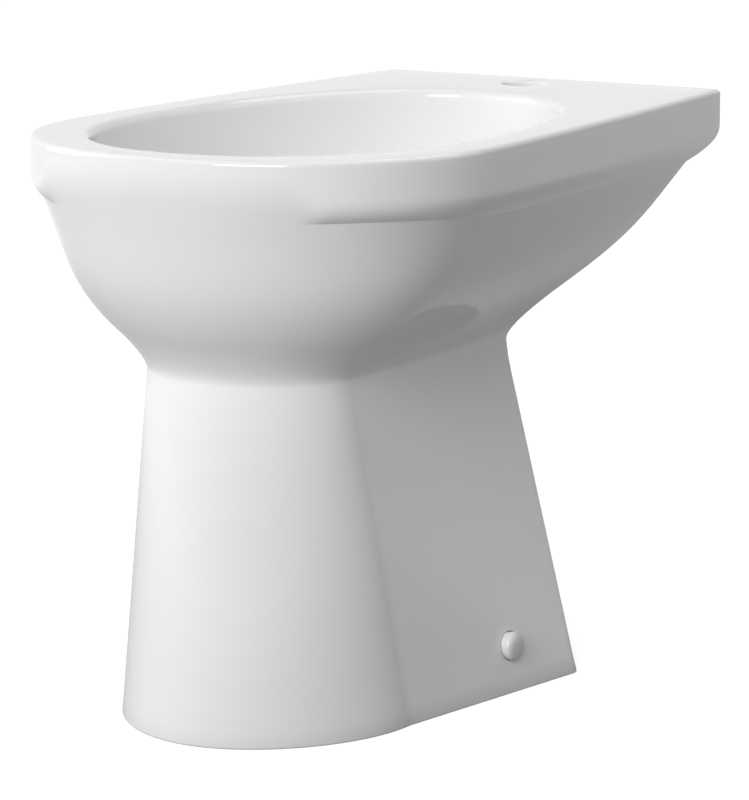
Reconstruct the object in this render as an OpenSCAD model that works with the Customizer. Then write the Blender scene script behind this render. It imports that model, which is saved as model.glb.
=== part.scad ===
// Floor-standing bidet, in millimetres.
// The origin is on the floor under the middle of the rim. Front is -Y, right is +X, up is +Z.

/* [Rim and deck] */
// Greatest width of the rim
rim_w = 335; // [320:1:350]
// Length from the front of the rim to the rear of the deck
body_l = 556; // [540:1:580]
// Height of the rim above the floor
body_h = 400; // [390:1:415]
// Width of the deck at its rear edge
deck_w = 286; // [276:1:296]
// Distance from the rim's front to its widest place
widest_back = 158; // [145:1:170]
// Fullness of the rounded front, where 2 is an ellipse
rim_fullness = 2.1; // [2:0.05:2.3]
// Thickness of the tap deck
deck_t = 14; // [12:0.5:17]
// Height of the upright band round the rim
band_h = 26; // [22:1:30]
// Radius of the rim's outer top edge
rim_edge_r = 3.5; // [2:0.5:6]
// Radius of the upright corners at the rear
rear_corner_r = 5; // [3:0.5:8]

/* [Lip and groove under the rim] */
// How far the rounded lip draws in below the band
lip_in = 10; // [7:0.5:13]
// Height of the lip at the front
lip_h = 22; // [18:1:26]
// Height of the undercut above the side groove
groove_h = 11; // [8:1:13]
// Distance from the rim's front to the start of the side groove
groove_start = 20; // [10:1:35]
// Length over which the side groove fades in from the front, and out to the rear
groove_fade = 200; // [140:5:220]
// How far the deck's underside has run forward at the bottom of the lip
rear_lip_in = 56; // [45:1:65]

/* [Neck and foot] */
// Height of the neck above the floor
neck_z = 250; // [244:1:256]
// Width of the neck where its rounded front ends
neck_w = 151; // [146:1:164]
// Width of the neck at its rear edge
neck_rear_w = 170; // [164:1:182]
// Setback of the neck from the rim's front
neck_front = 64; // [58:1:72]
// Setback of the neck from the deck's rear edge
neck_rear = 231; // [222:1:238]
// Distance from the rim's front to where the neck's rounded front ends
neck_round_end = 125; // [116:1:134]
// Width of the foot where its rounded front ends
foot_w = 212; // [200:1:224]
// Width of the foot at its rear edge
foot_rear_w = 274; // [250:1:284]
// Setback of the foot from the rim's front
foot_front = 38; // [32:1:48]
// Setback of the foot from the deck's rear edge
foot_rear = 211; // [200:1:222]
// Fullness of the foot's rounded front
foot_fullness = 1.9; // [1.8:0.05:2.1]
// Blend radius at the neck, measured along the height
neck_blend = 9; // [5:1:14]
// How far the foot's rear edge flares back under the bowl
flare_out = 6; // [3:0.5:8]
// Height below the neck over which it flares
flare_h = 30; // [22:1:38]

/* [Basin] */
// Width of the basin at its top edge
basin_w = 280; // [268:1:288]
// Width of the rim at the front, outside the basin
front_rim = 25; // [20:1:32]
// Length of the deck behind the basin
deck_l = 100; // [94:1:110]
// Distance from the rim's front to the basin's widest place and its waste
waste_back = 203; // [195:1:212]
// Depth of the basin below the rim
basin_depth = 136; // [128:1:140]
// Fullness of the basin's outline
basin_fullness = 2.15; // [2:0.05:2.4]
// Fullness of the basin's profile, where 2 is an ellipse and more has steeper walls
basin_steepness = 3.5; // [3:0.1:4]
// Radius of the basin's top edge
basin_edge_r = 6; // [4:0.5:8]

/* [Ceramic walls] */
// Wall of the foot
wall = 12; // [10:0.5:14]
// Thickness of the basin floor under the waste flange's seal
seat_t = 16; // [13:0.5:19]
// Wall behind the basin, seen from the rear
basin_back_t = 12; // [10:0.5:14]
// Width of the return flange at each side of the rear opening
return_w = 14; // [8:1:20]

/* [Tap hole] */
// Diameter of the tap hole
tap_hole_d = 35; // [32:0.5:37]
// Distance from the tap hole's centre to the deck's rear edge
tap_setback = 44; // [40:1:52]

/* [Waste] */
// Outer diameter of the threaded shank and its outlet
shank_d = 41.9; // [40:0.1:43]
// Diameter of the hole for the waste in the basin floor
waste_hole_d = 46; // [45:0.5:48]
// Diameter of the waste flange
flange_d = 63; // [61:0.5:66]
// Thickness of the waste flange
flange_t = 2.5; // [2:0.1:3]
// Thickness of the flat seal under the flange
flange_seal_t = 1.5; // [1:0.1:2]
// Bore of the shank
shank_bore_d = 36; // [34:0.5:37]
// Length of the waste from the top of its flange to its outlet
waste_l = 80; // [74:1:90]
// Thickness of the tapered seal under the basin floor
cone_seal_t = 8; // [6:0.5:10]
// Largest diameter of the tapered seal
cone_seal_d = 62; // [58:1:66]
// Thickness of the friction washer
slip_washer_t = 1.5; // [1:0.1:2]
// Width across the flats of the back nut
nut_af = 52; // [50:0.5:56]
// Height of the back nut
nut_h = 10; // [8:0.5:12]
// Diameter of the plug
plug_d = 41.4; // [40:0.1:42]
// Height of the plug's dome
plug_dome_h = 4; // [3:0.5:6]
// Lift of the plug from closed to open
plug_lift = 9; // [7:0.5:10]
// Length of the outlet below the relief groove, where a trap screws on
outlet_l = 22; // [18:1:26]

/* [Cartridge] */
// Outer diameter of the cartridge barrel
barrel_d = 14; // [13:0.5:16]
// Wall of the cartridge barrel
barrel_wall = 1.8; // [1.4:0.1:2.2]
// Diameter of the plug stem
stem_d = 6; // [5:0.5:6.5]
// Thickness of the plunger head on the stem
plunger_t = 3; // [2:0.5:4]
// Wire diameter of the cartridge spring
spring_wire = 0.8; // [0.6:0.1:1]
// Turns of the cartridge spring
spring_turns = 6; // [5:1:6]

/* [Side fixings] */
// Height of the side holes above the floor
fix_z = 33; // [28:1:38]
// Distance from the side holes to the foot's rear edge
fix_rear = 73; // [66:1:80]
// Depth of the flat round each side hole, below the glazed side
spot_depth = 3; // [2.6:0.1:4]
// Diameter of the side holes
side_hole_d = 12; // [11:0.5:13]
// Length of the pad inside each side hole
pad_l = 10; // [8:0.5:12]
// Diameter of the pad inside each side hole
pad_d = 34; // [30:1:38]
// Diameter of the cover caps
cap_d = 20; // [19:0.5:22]
// Height of the cover caps
cap_h = 9; // [8.8:0.1:10.5]
// Wall of the cover caps
cap_wall = 1.4; // [1:0.1:1.6]
// Thread diameter of the side screws
screw_d = 6; // [5:0.5:6]
// Thickness of the floor brackets
bracket_t = 5; // [4:0.5:6]
// Length of each bracket along the foot
bracket_l = 44; // [40:1:50]
// Reach of each bracket across the floor
bracket_reach = 40; // [36:1:46]
// Height of each bracket
bracket_h = 52; // [48:1:56]
// Diameter of the floor screw hole in each bracket
floor_hole_d = 8; // [6.5:0.5:8.5]

/* [Fits] */
// Gap round a part that slides
slide_gap = 0.1; // [0.05:0.01:0.1]
// Gap round a part that is only placed
place_gap = 0.3; // [0.2:0.05:0.4]

/* [Hidden] */

// Steps of the outline: rounded front, side, rear corner and half of the rear
front_steps = 14;
side_steps = 13;
corner_steps = 2;
rear_steps = 5;
// Steps of the profiles: foot, bowl, lip, rounded edges and basin
foot_steps = 2;
blend_steps = 4;
bowl_steps = 8;
lip_steps = 4;
edge_steps = 2;
basin_steps = 9;
// How far a cutting shape runs past a face
past = 1;

// Main places
front_y = -body_l / 2;
rear_y = body_l / 2;
widest_y = front_y + widest_back;
band_z = body_h - band_h;
lip_z = band_z - lip_h;
waste_y = front_y + waste_back;
tap_y = rear_y - tap_setback;

// An outline is [width, front, fullness, widest place, rear width, rear, curve of the sides].
// A curve of 1 is a straight side.
rim_curve = 1.5;
rim_outline = [rim_w, front_y, rim_fullness, widest_y, deck_w, rear_y, rim_curve];
neck_outline = [neck_w, front_y + neck_front, foot_fullness, front_y + neck_round_end,
    neck_rear_w, rear_y - neck_rear, 1];
foot_outline = [foot_w, front_y + foot_front, foot_fullness, widest_y, foot_rear_w,
    rear_y - foot_rear, 1];

// A point between a and b, and a curve with two middle handles
function mix(a, b, t) = a + (b - a) * t;
function curve(a, b, c, d, t) =
    a * pow(1 - t, 3) + 3 * b * pow(1 - t, 2) * t + 3 * c * (1 - t) * t * t + d * pow(t, 3);
// A ramp from 0 to 1 that starts and ends level
function ease(t) = let (u = min(max(t, 0), 1)) u * u * (3 - 2 * u);
// An outline drawn in by d all round
function drawn_in(o, d) =
    [o[0] - 2 * d, o[1] + d, o[2], o[3], o[4] - 2 * d, o[5] - d, o[6]];

// Half of an outline, from its front round the right side to the middle of its rear
function front_part(o) = [for (i = [0:front_steps]) let (a = 90 * i / front_steps)
    [o[0] / 2 * pow(sin(a), 2 / o[2]), o[3] - (o[3] - o[1]) * pow(cos(a), 2 / o[2])]];
function side_part(o) = [for (i = [1:side_steps]) let (s = i / side_steps)
    [o[0] / 2 - (o[0] - o[4]) / 2 * pow(s, o[6]), mix(o[3], o[5] - rear_corner_r, s)]];
function corner_part(o) = [for (i = [1:corner_steps]) let (a = 90 * i / corner_steps)
    [o[4] / 2 - rear_corner_r * (1 - cos(a)), o[5] - rear_corner_r * (1 - sin(a))]];
function rear_part(o) = [for (i = [1:rear_steps])
    [(o[4] / 2 - rear_corner_r) * (1 - i / rear_steps), o[5]]];
function half(o) = concat(front_part(o), side_part(o), corner_part(o), rear_part(o));
// Both halves of a ring of points, from its right half
function whole(h) = concat(h, [for (i = [len(h) - 2:-1:1]) [-h[i][0], h[i][1], h[i][2]]]);
function at_height(h, z) = [for (p = h) [p[0], p[1], z]];
function ring(o, z) = whole(at_height(half(o), z));

// Outside of the foot and the bowl. The foot's rear edge flares back below the neck.
function flared(o, h) = let (s = max(0, 1 - h / flare_h))
    [o[0], o[1], o[2], o[3], o[4], o[5] + flare_out * s * s, o[6]];
function foot_at(t) = flared(mix(foot_outline, neck_outline, t), neck_z * (1 - t));
// The way from lip to neck as a curve with two handles, for its height, front, rear and rear width
height_handles = [0.4, 0.57];
front_handles = [0.21, 0.23];
rear_handles = [0.29, 0.05];
width_handles = [0.25, 0.65];
function share(handles, t) = curve(0, handles[0], handles[1], 1, t);
lip_outline = [rim_w - 2 * lip_in, front_y + lip_in, rim_fullness, widest_y, deck_w,
    rear_y - rear_lip_in, rim_curve];
function bowl_z(t) = mix(lip_z, neck_z, share(height_handles, t));
function bowl_at(t) = let (s = share(front_handles, t)) [
    mix(lip_outline[0], neck_outline[0], s),
    mix(lip_outline[1], neck_outline[1], s),
    mix(lip_outline[2], neck_outline[2], t),
    mix(lip_outline[3], neck_outline[3], t),
    mix(lip_outline[4], neck_outline[4], share(width_handles, t)),
    mix(lip_outline[5], neck_outline[5], share(rear_handles, t)),
    mix(lip_outline[6], neck_outline[6], t)];
// The neck's blend, from the foot at blend 0 to the bowl at blend 1
flare_t = 1 - flare_h / neck_z;
blend_foot_t = 1 - neck_blend / neck_z;
blend_bowl_t = 0.8;
function bend(a, b, c, t) = mix(mix(a, b, t), mix(b, c, t), t);
function blend_at(t) = bend(foot_at(blend_foot_t), foot_at(1), bowl_at(blend_bowl_t), t);
function blend_z(t) = bend(neck_z * blend_foot_t, neck_z, bowl_z(blend_bowl_t), t);

// The lip: a soft fold at the front, an undercut groove along the sides. u runs 0 to 1 downwards.
function groove_share(y) = ease((y - front_y - groove_start) / groove_fade)
    * ease((rear_y - groove_start - y) / groove_fade);
rear_run = 1.8;
// Slope of the fold where it meets the bowl, as a share of its mean slope
lip_end_slope = 0.75;
function lip_ring_at(u) = let (
    rear_in = rear_lip_in * pow(u, rear_run),
    soft_in = lip_in * ((3 - lip_end_slope) * u * u - (2 - lip_end_slope) * pow(u, 3)),
    cut_in = lip_in * (1 - cos(90 * u)),
    soft_z = band_z - lip_h * u,
    cut_z = lip_z + groove_h * (1 - sin(90 * u)),
    rim = half(rim_outline),
    soft = half([rim_w - 2 * soft_in, front_y + soft_in, rim_fullness, widest_y, deck_w,
        rear_y - rear_in, rim_curve]),
    cut = half([rim_w - 2 * cut_in, front_y + cut_in, rim_fullness, widest_y, deck_w,
        rear_y - rear_in, rim_curve]))
    whole([for (i = [0:len(rim) - 1]) let (g = groove_share(rim[i][1]))
        [mix(soft[i][0], cut[i][0], g), mix(soft[i][1], cut[i][1], g), mix(soft_z, cut_z, g)]]);

// The basin is egg-shaped: each of its rings lies on the same rays as the rim's points.
basin_front = waste_back - front_rim;
basin_rear = body_l - waste_back - deck_l;
rays = [for (p = half(drawn_in(rim_outline, rim_edge_r))) atan2(p[0], waste_y - p[1])];
function egg_radius(a, w, f, r) = let (l = abs(a) < 90 ? f : r)
    pow(pow(abs(sin(a)) / w, basin_fullness) + pow(abs(cos(a)) / l, basin_fullness),
        -1 / basin_fullness);
function egg_ring(d, share, z) = whole([for (a = rays) let (
    radius = share * egg_radius(a, basin_w / 2 - d, basin_front - d, basin_rear - d))
    [radius * sin(a), waste_y - radius * cos(a), z]]);
function round_ring(r, z) = whole([for (a = rays) [r * sin(a), waste_y - r * cos(a), z]]);
basin_floor_z = body_h - basin_depth;
wall_depth = basin_depth - basin_edge_r;
function basin_share(a) = pow(cos(a), 2 / basin_steepness);
function basin_z(a) = body_h - basin_edge_r - wall_depth * pow(sin(a), 2 / basin_steepness);
last_basin_angle = 84;

// Inside of the foot
flange_seat_z = basin_floor_z - flange_t - flange_seal_t;
ceiling_z = flange_seat_z - seat_t;
function foot_inside(z) = drawn_in(foot_at(z / neck_z), wall);
ceiling_edge = 6;
// The core runs through the basin floor and is narrower than the hole cut for the waste.
core_r = waste_hole_d / 3;

function casting_rings() = concat(
    [for (i = [0:foot_steps - 1]) let (t = flare_t * i / foot_steps) ring(foot_at(t), neck_z * t)],
    [for (i = [0:foot_steps]) let (t = mix(flare_t, blend_foot_t, i / foot_steps))
        ring(foot_at(t), neck_z * t)],
    [for (i = [1:blend_steps - 1]) ring(blend_at(i / blend_steps), blend_z(i / blend_steps))],
    [for (i = [0:bowl_steps - 1]) let (t = blend_bowl_t * (1 - i / bowl_steps))
        ring(bowl_at(t), bowl_z(t))],
    [for (i = [0:lip_steps]) lip_ring_at(1 - i / lip_steps)],
    [for (i = [0:edge_steps]) let (a = 90 * i / edge_steps)
        ring(drawn_in(rim_outline, rim_edge_r * (1 - cos(a))),
            body_h - rim_edge_r * (1 - sin(a)))],
    [for (i = [0:edge_steps]) let (a = 90 * i / edge_steps)
        egg_ring(basin_edge_r * sin(a), 1, body_h - basin_edge_r * (1 - cos(a)))],
    [for (i = [1:basin_steps]) let (a = last_basin_angle * i / basin_steps)
        egg_ring(basin_edge_r, basin_share(a), basin_z(a))],
    [round_ring(core_r, basin_floor_z), round_ring(core_r, ceiling_z)],
    [ring(drawn_in(foot_inside(ceiling_z), ceiling_edge), ceiling_z)],
    [for (z = [ceiling_z - ceiling_edge, neck_z - flare_h]) ring(foot_inside(z), z)],
    [ring(foot_inside(0), 0)]);

// A closed skin over a list of rings whose last ring joins the first
module ring_skin(rings) {
    n = len(rings[0]);
    m = len(rings);
    points = [for (r = rings) for (p = r) p];
    faces = [for (j = [0:m - 1]) for (i = [0:n - 1]) let (
        a = j * n + i,
        b = j * n + (i + 1) % n,
        c = ((j + 1) % m) * n + (i + 1) % n,
        d = ((j + 1) % m) * n + i) each [[a, c, b], [a, d, c]]];
    polyhedron(points, faces, convexity = 10);
}

// Cuts in the casting
module basin_outlet_cut() {
    translate([0, waste_y, flange_seat_z])
        cylinder(d = flange_d + 2 * place_gap, h = basin_depth / 4, $fn = 96);
    translate([0, waste_y, ceiling_z - past])
        cylinder(d = waste_hole_d, h = basin_depth / 4, $fn = 96);
}
module tap_hole_cut() {
    translate([0, tap_y, body_h - deck_t - past])
        cylinder(d = tap_hole_d, h = deck_t + 2 * past, $fn = 96);
}
// The pocket under the deck is open to the rear. Its front follows the basin's rear wall.
bay_low_angle = 60;
bay_rear = rear_y - wall;
bay_side_wall = wall + ceiling_edge / 2;
module bay_cut() {
    side = concat(
        [[bay_rear, body_h - deck_t]],
        [for (i = [0:basin_steps]) let (a = bay_low_angle * i / basin_steps)
            [waste_y + (basin_rear - basin_edge_r) * basin_share(a) + basin_back_t,
                i == 0 ? body_h - deck_t : basin_z(a)]],
        [[rear_y + past, basin_z(bay_low_angle) - deck_t], [rear_y + past, band_z],
            [bay_rear, band_z]]);
    right = concat(
        [[deck_w / 2 - bay_side_wall, body_h]],
        [for (i = [0:bowl_steps - 1]) let (t = (i + 0.5) / bowl_steps)
            [bowl_at(t)[4] / 2 - mix(bay_side_wall, wall, t), bowl_z(t)]]);
    intersection() {
        rotate([90, 0, 90])
            translate([0, 0, -rim_w / 2])
                linear_extrude(rim_w) polygon(side);
        rotate([90, 0, 0])
            translate([0, 0, -rear_y - 2 * past])
                linear_extrude(rear_y)
                    polygon(concat(right,
                        [for (i = [len(right) - 1:-1:0]) [-right[i][0], right[i][1]]]));
    }
}
// The foot is open at its back between two return flanges.
module back_cut() {
    low = foot_rear_w / 2 - wall - return_w;
    high = neck_rear_w / 2 - wall - return_w / 2;
    top = ceiling_z - ceiling_edge;
    slope = (high - low) / top;
    rotate([90, 0, 0])
        translate([0, 0, -foot_outline[5] - past])
            linear_extrude(foot_outline[5] - neck_outline[5] + 2 * wall)
                polygon([[-low + slope * past, -past], [low - slope * past, -past], [high, top],
                    [-high, top]]);
}

// Side fixings: the place on the foot's glazed side, and the faces along X
fix_y = foot_outline[5] - fix_rear;
fix_outline = foot_at(fix_z / neck_z);
fix_share = (fix_y - fix_outline[3]) / (fix_outline[5] - rear_corner_r - fix_outline[3]);
side_x = mix(fix_outline[0], fix_outline[4], fix_share) / 2;
spot_x = side_x - spot_depth;
pad_x = side_x - wall - pad_l;
spot_d = cap_d + 4 * place_gap;

module fix_pad() {
    translate([pad_x, fix_y, fix_z])
        rotate([0, 90, 0])
            cylinder(d = pad_d, h = pad_l + wall / 2, $fn = 64);
}
module fix_hole_cut() {
    translate([pad_x - past, fix_y, fix_z])
        rotate([0, 90, 0])
            cylinder(d = side_hole_d, h = side_x - pad_x + 2 * past, $fn = 64);
    translate([spot_x, fix_y, fix_z])
        rotate([0, 90, 0])
            cylinder(d = spot_d, h = cap_h, $fn = 64);
}
module both_sides() {
    children();
    mirror([1, 0, 0]) children();
}

module ceramic_body() {
    color("white")
        difference() {
            union() {
                ring_skin(casting_rings());
                both_sides() fix_pad();
            }
            basin_outlet_cut();
            tap_hole_cut();
            bay_cut();
            back_cut();
            both_sides() fix_hole_cut();
        }
}

// Waste set, on the axis of the basin's outlet
module on_waste(z) {
    translate([0, waste_y, z]) children();
}
module tube(od, id, h) {
    difference() {
        cylinder(d = od, h = h, $fn = 96);
        translate([0, 0, -past]) cylinder(d = id, h = h + 2 * past, $fn = 96);
    }
}
waste_bottom_z = basin_floor_z - waste_l;
mouth_flare = 3.5;
mouth_r = shank_bore_d / 2 + mouth_flare;
mouth_h = 2;
plug_seat_h = 6;
flange_chamfer = 1;
seal_set_in = 1.5;
// The relief groove lies above the outlet's thread.
relief_h = 2;
relief_depth = 0.8;
// The spider in the shank holds the cartridge by a stud.
spider_h = 6;
stud_d = 8;
hub_wall = 5;
spider_hub_d = stud_d + 2 * hub_wall;
spider_arm_w = 3;
spider_arm_start = (stud_d + hub_wall) / 2;
spider_arm_end = (shank_bore_d + shank_d) / 4;

module waste_body() {
    // Heights are from the outlet; the profile runs up the bore and down the outside.
    flange_z = waste_l - flange_t;
    color("silver")
        on_waste(waste_bottom_z) {
            rotate_extrude($fn = 96)
                polygon([[shank_bore_d / 2, 0], [shank_bore_d / 2, waste_l - plug_seat_h],
                    [mouth_r, waste_l - mouth_h], [mouth_r, waste_l],
                    [flange_d / 2 - flange_chamfer, waste_l],
                    [flange_d / 2, waste_l - flange_chamfer], [flange_d / 2, flange_z],
                    [shank_d / 2, flange_z], [shank_d / 2, outlet_l + relief_h],
                    [shank_d / 2 - relief_depth, outlet_l + relief_h],
                    [shank_d / 2 - relief_depth, outlet_l], [shank_d / 2, outlet_l],
                    [shank_d / 2, 0]]);
            translate([0, 0, spider_z - waste_bottom_z]) {
                tube(spider_hub_d, stud_d, spider_h);
                for (a = [0, 120, 240])
                    rotate([0, 0, a])
                        translate([spider_arm_start, -spider_arm_w / 2, 0])
                            cube([spider_arm_end - spider_arm_start, spider_arm_w, spider_h]);
            }
        }
}
module flange_seal() {
    color("dimgray")
        on_waste(flange_seat_z) tube(flange_d - 2 * seal_set_in, shank_d + place_gap, flange_seal_t);
}
cone_seal_z = ceiling_z - cone_seal_t;
slip_washer_z = cone_seal_z - slip_washer_t;
lock_nut_z = slip_washer_z - nut_h;
// Share of the tapered seal's height that tapers
cone_share = 0.6;
module cone_seal() {
    inner = shank_d / 2 + place_gap;
    color("dimgray")
        on_waste(cone_seal_z)
            rotate_extrude($fn = 96)
                polygon([[inner, 0], [nut_af / 2, 0], [cone_seal_d / 2, cone_share * cone_seal_t],
                    [cone_seal_d / 2, cone_seal_t], [inner, cone_seal_t]]);
}
module slip_washer() {
    color("white")
        on_waste(slip_washer_z) tube(nut_af, shank_d + place_gap, slip_washer_t);
}
module lock_nut() {
    color("goldenrod")
        on_waste(lock_nut_z)
            difference() {
                cylinder(d = nut_af / cos(30), h = nut_h, $fn = 6);
                translate([0, 0, -past])
                    cylinder(d = shank_d + 2 * slide_gap, h = nut_h + 2 * past, $fn = 96);
            }
}

// Cartridge: heights go down from the plug, which is closed at rest
plug_seat_z = basin_floor_z - mouth_h;
plug_hub_r = 12;
plug_seal_t = 2.5;
plug_boss_h = 6;
plug_boss_z = plug_seat_z - plug_seal_t - plug_boss_h;
plug_boss_r = 6;
stem_depth = 4;
barrel_bore_d = barrel_d - 2 * barrel_wall;
barrel_base_t = 2;
collar_t = 3;
collar_z = plug_boss_z - place_gap - collar_t;
plunger_z = collar_z - place_gap - plug_lift - plunger_t;
spring_pitch = 2.2 * spring_wire;
barrel_floor_z = plunger_z - spring_pitch * spring_turns - barrel_base_t;
spider_z = barrel_floor_z - spider_h;

module cartridge_barrel() {
    color("gainsboro") {
        on_waste(barrel_floor_z) {
            cylinder(d = barrel_d, h = barrel_base_t, $fn = 64);
            tube(barrel_d, barrel_bore_d, collar_z - barrel_floor_z);
        }
        on_waste(spider_z)
            cylinder(d = stud_d - 2 * slide_gap, h = spider_h, $fn = 64);
    }
}
module cartridge_collar() {
    color("gainsboro")
        on_waste(collar_z) tube(barrel_d, stem_d + 2 * slide_gap, collar_t);
}
// Rings of six points along a helix, with flat ends
module cartridge_spring() {
    sides = 6;
    rings_a_turn = 8;
    steps = spring_turns * rings_a_turn;
    coil_r = barrel_bore_d / 2 - spring_wire / 2 - place_gap;
    low = barrel_floor_z + barrel_base_t + spring_wire / 2;
    high = plunger_z - spring_wire / 2;
    points = [for (j = [0:steps]) let (a = 360 * j / rings_a_turn) for (i = [0:sides - 1]) let (
        b = 360 * i / sides,
        r = coil_r + spring_wire / 2 * cos(b))
        [r * cos(a), waste_y + r * sin(a), mix(low, high, j / steps) + spring_wire / 2 * sin(b)]];
    skin = [for (j = [0:steps - 1]) for (i = [0:sides - 1]) let (
        a = j * sides + i,
        b = j * sides + (i + 1) % sides) each [[a, b, b + sides], [a, b + sides, a + sides]]];
    start = [for (i = [1:sides - 2]) [0, i + 1, i]];
    end = [for (i = [1:sides - 2]) [steps * sides, steps * sides + i, steps * sides + i + 1]];
    color("lightsteelblue") polyhedron(points, concat(skin, start, end));
}
module plug_stem() {
    color("gainsboro")
        on_waste(plunger_z) {
            cylinder(d = barrel_bore_d - 2 * slide_gap, h = plunger_t, $fn = 64);
            cylinder(d = stem_d, h = plug_boss_z + stem_depth - plunger_z, $fn = 64);
        }
}
module plug_cap() {
    // The dome is part of a sphere through the plug's upper edge.
    edge_z = plug_seat_z + mouth_h;
    dome_r = (pow(plug_d / 2, 2) + pow(plug_dome_h, 2)) / (2 * plug_dome_h);
    color("silver")
        difference() {
            union() {
                on_waste(plug_seat_z) cylinder(d = plug_d, h = mouth_h, $fn = 96);
                intersection() {
                    on_waste(edge_z + plug_dome_h - dome_r) sphere(r = dome_r, $fn = 96);
                    on_waste(edge_z) cylinder(d = plug_d, h = plug_dome_h + past, $fn = 96);
                }
                on_waste(plug_seat_z - plug_seal_t) cylinder(r = plug_hub_r, h = plug_seal_t, $fn = 96);
                on_waste(plug_boss_z) cylinder(r = plug_boss_r, h = plug_boss_h, $fn = 96);
            }
            on_waste(plug_boss_z - past) cylinder(d = stem_d, h = stem_depth + past, $fn = 64);
        }
}
module plug_seal() {
    // The outer face follows the cone of the seat.
    cone = (mouth_r - shank_bore_d / 2) / (plug_seat_h - mouth_h);
    color("dimgray")
        on_waste(plug_seat_z - plug_seal_t)
            rotate_extrude($fn = 96)
                polygon([[plug_hub_r, 0], [mouth_r - cone * plug_seal_t - place_gap, 0],
                    [plug_d / 2 - place_gap, plug_seal_t], [plug_hub_r, plug_seal_t]]);
}

// Side fixing set, drawn for the right side
seat_flange_t = 1.5;
washer_t = 1;
head_h = 4;
head_af = 10;
cap_bore_d = cap_d - 2 * cap_wall;
cap_dome_h = 3;
cap_x = spot_x + place_gap;
nut_t = 5;
nut_w = 10;
pocket_wall = 3;
plate_x = pad_x - bracket_t;
nut_x = plate_x - nut_t;
head_x = spot_x + seat_flange_t + washer_t;
screw_past_nut = 2;
screw_end_x = nut_x - screw_past_nut;
floor_hole_x = pad_x - bracket_reach / 2 - bracket_t;

module along_x(x) {
    translate([x, fix_y, fix_z]) rotate([0, 90, 0]) children();
}
module cap_seat() {
    color("white")
        along_x(0) {
            translate([0, 0, spot_x])
                tube(cap_bore_d - 2 * slide_gap, screw_d + place_gap, seat_flange_t);
            translate([0, 0, pad_x])
                tube(side_hole_d - 2 * slide_gap, screw_d + place_gap, spot_x - pad_x);
        }
}
module cover_cap() {
    // A dome on a short skirt, hollow from its open face
    skirt = cap_h - cap_dome_h;
    dome_r = (pow(cap_d / 2, 2) + pow(cap_dome_h, 2)) / (2 * cap_dome_h);
    color("white")
        along_x(cap_x)
            difference() {
                union() {
                    cylinder(d = cap_d, h = skirt, $fn = 96);
                    intersection() {
                        translate([0, 0, cap_h - dome_r]) sphere(r = dome_r, $fn = 96);
                        translate([0, 0, skirt]) cylinder(d = cap_d, h = cap_h, $fn = 96);
                    }
                }
                translate([0, 0, -past]) cylinder(d = cap_bore_d, h = skirt + past, $fn = 96);
                cylinder(d = head_af / cos(30) + 2 * place_gap,
                    h = seat_flange_t + washer_t + head_h + place_gap, $fn = 96);
            }
}
module screw_washer() {
    along_x(head_x - washer_t) tube(2 * screw_d, screw_d + place_gap, washer_t);
}
module side_screw() {
    along_x(head_x) cylinder(d = head_af / cos(30), h = head_h, $fn = 6);
    along_x(screw_end_x) cylinder(d = screw_d, h = head_x - screw_end_x, $fn = 64);
}
module bracket_nut() {
    difference() {
        translate([nut_x, fix_y - nut_w / 2, fix_z - nut_w / 2]) cube([nut_t, nut_w, nut_w]);
        along_x(nut_x - past) cylinder(d = screw_d + 2 * slide_gap, h = nut_t + 2 * past, $fn = 64);
    }
}
module floor_bracket() {
    pocket = nut_w + 2 * pocket_wall;
    color("lightgray")
        difference() {
            union() {
                translate([pad_x - bracket_reach, fix_y - bracket_l / 2, 0])
                    cube([bracket_reach, bracket_l, bracket_t]);
                translate([plate_x, fix_y - bracket_l / 2, 0])
                    cube([bracket_t, bracket_l, bracket_h]);
                translate([nut_x, fix_y - pocket / 2, fix_z - pocket / 2])
                    cube([nut_t, pocket, pocket]);
                for (s = [-1, 1])
                    translate([0, fix_y + s * (bracket_l - pocket_wall) / 2 + pocket_wall / 2, 0])
                        rotate([90, 0, 0])
                            linear_extrude(pocket_wall)
                                polygon([[pad_x - bracket_reach + bracket_t, bracket_t],
                                    [plate_x, bracket_t], [plate_x, bracket_h - bracket_t]]);
            }
            along_x(plate_x - past)
                cylinder(d = screw_d + 2 * place_gap, h = bracket_t + 2 * past, $fn = 64);
            translate([nut_x - past, fix_y - nut_w / 2 - slide_gap, fix_z - nut_w / 2 - slide_gap])
                cube([nut_t + past, nut_w + 2 * slide_gap, nut_w + 2 * slide_gap]);
            translate([floor_hole_x, fix_y, -past])
                cylinder(d = floor_hole_d, h = bracket_t + 2 * past, $fn = 64);
        }
}
module left_side() {
    mirror([1, 0, 0]) children();
}

echo(mounts = [tap_y, waste_y, waste_bottom_z, lock_nut_z, fix_y, floor_hole_x, spot_x, pad_x],
    spring_foot = barrel_floor_z + barrel_base_t, plug = [plunger_z, collar_z, plug_boss_z]);

ceramic_body();
waste_body();
flange_seal();
cone_seal();
slip_washer();
lock_nut();
cartridge_barrel();
cartridge_collar();
cartridge_spring();
plug_stem();
plug_cap();
plug_seal();
cap_seat();  // cap_seat_right
left_side() cap_seat();  // cap_seat_left
cover_cap();  // cover_cap_right
left_side() cover_cap();  // cover_cap_left
color("silver") both_sides() screw_washer();  // screw_washers
color("silver") both_sides() side_screw();  // side_screws
color("silver") both_sides() bracket_nut();  // bracket_nuts
floor_bracket();  // floor_bracket_right
left_side() floor_bracket();  // floor_bracket_left
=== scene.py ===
"""Looks of the floor-standing bidet. Metres; -Y is the front, +X the right side, +Z up."""

from math import atan2, cos, pi, radians, sin, sqrt

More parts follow.
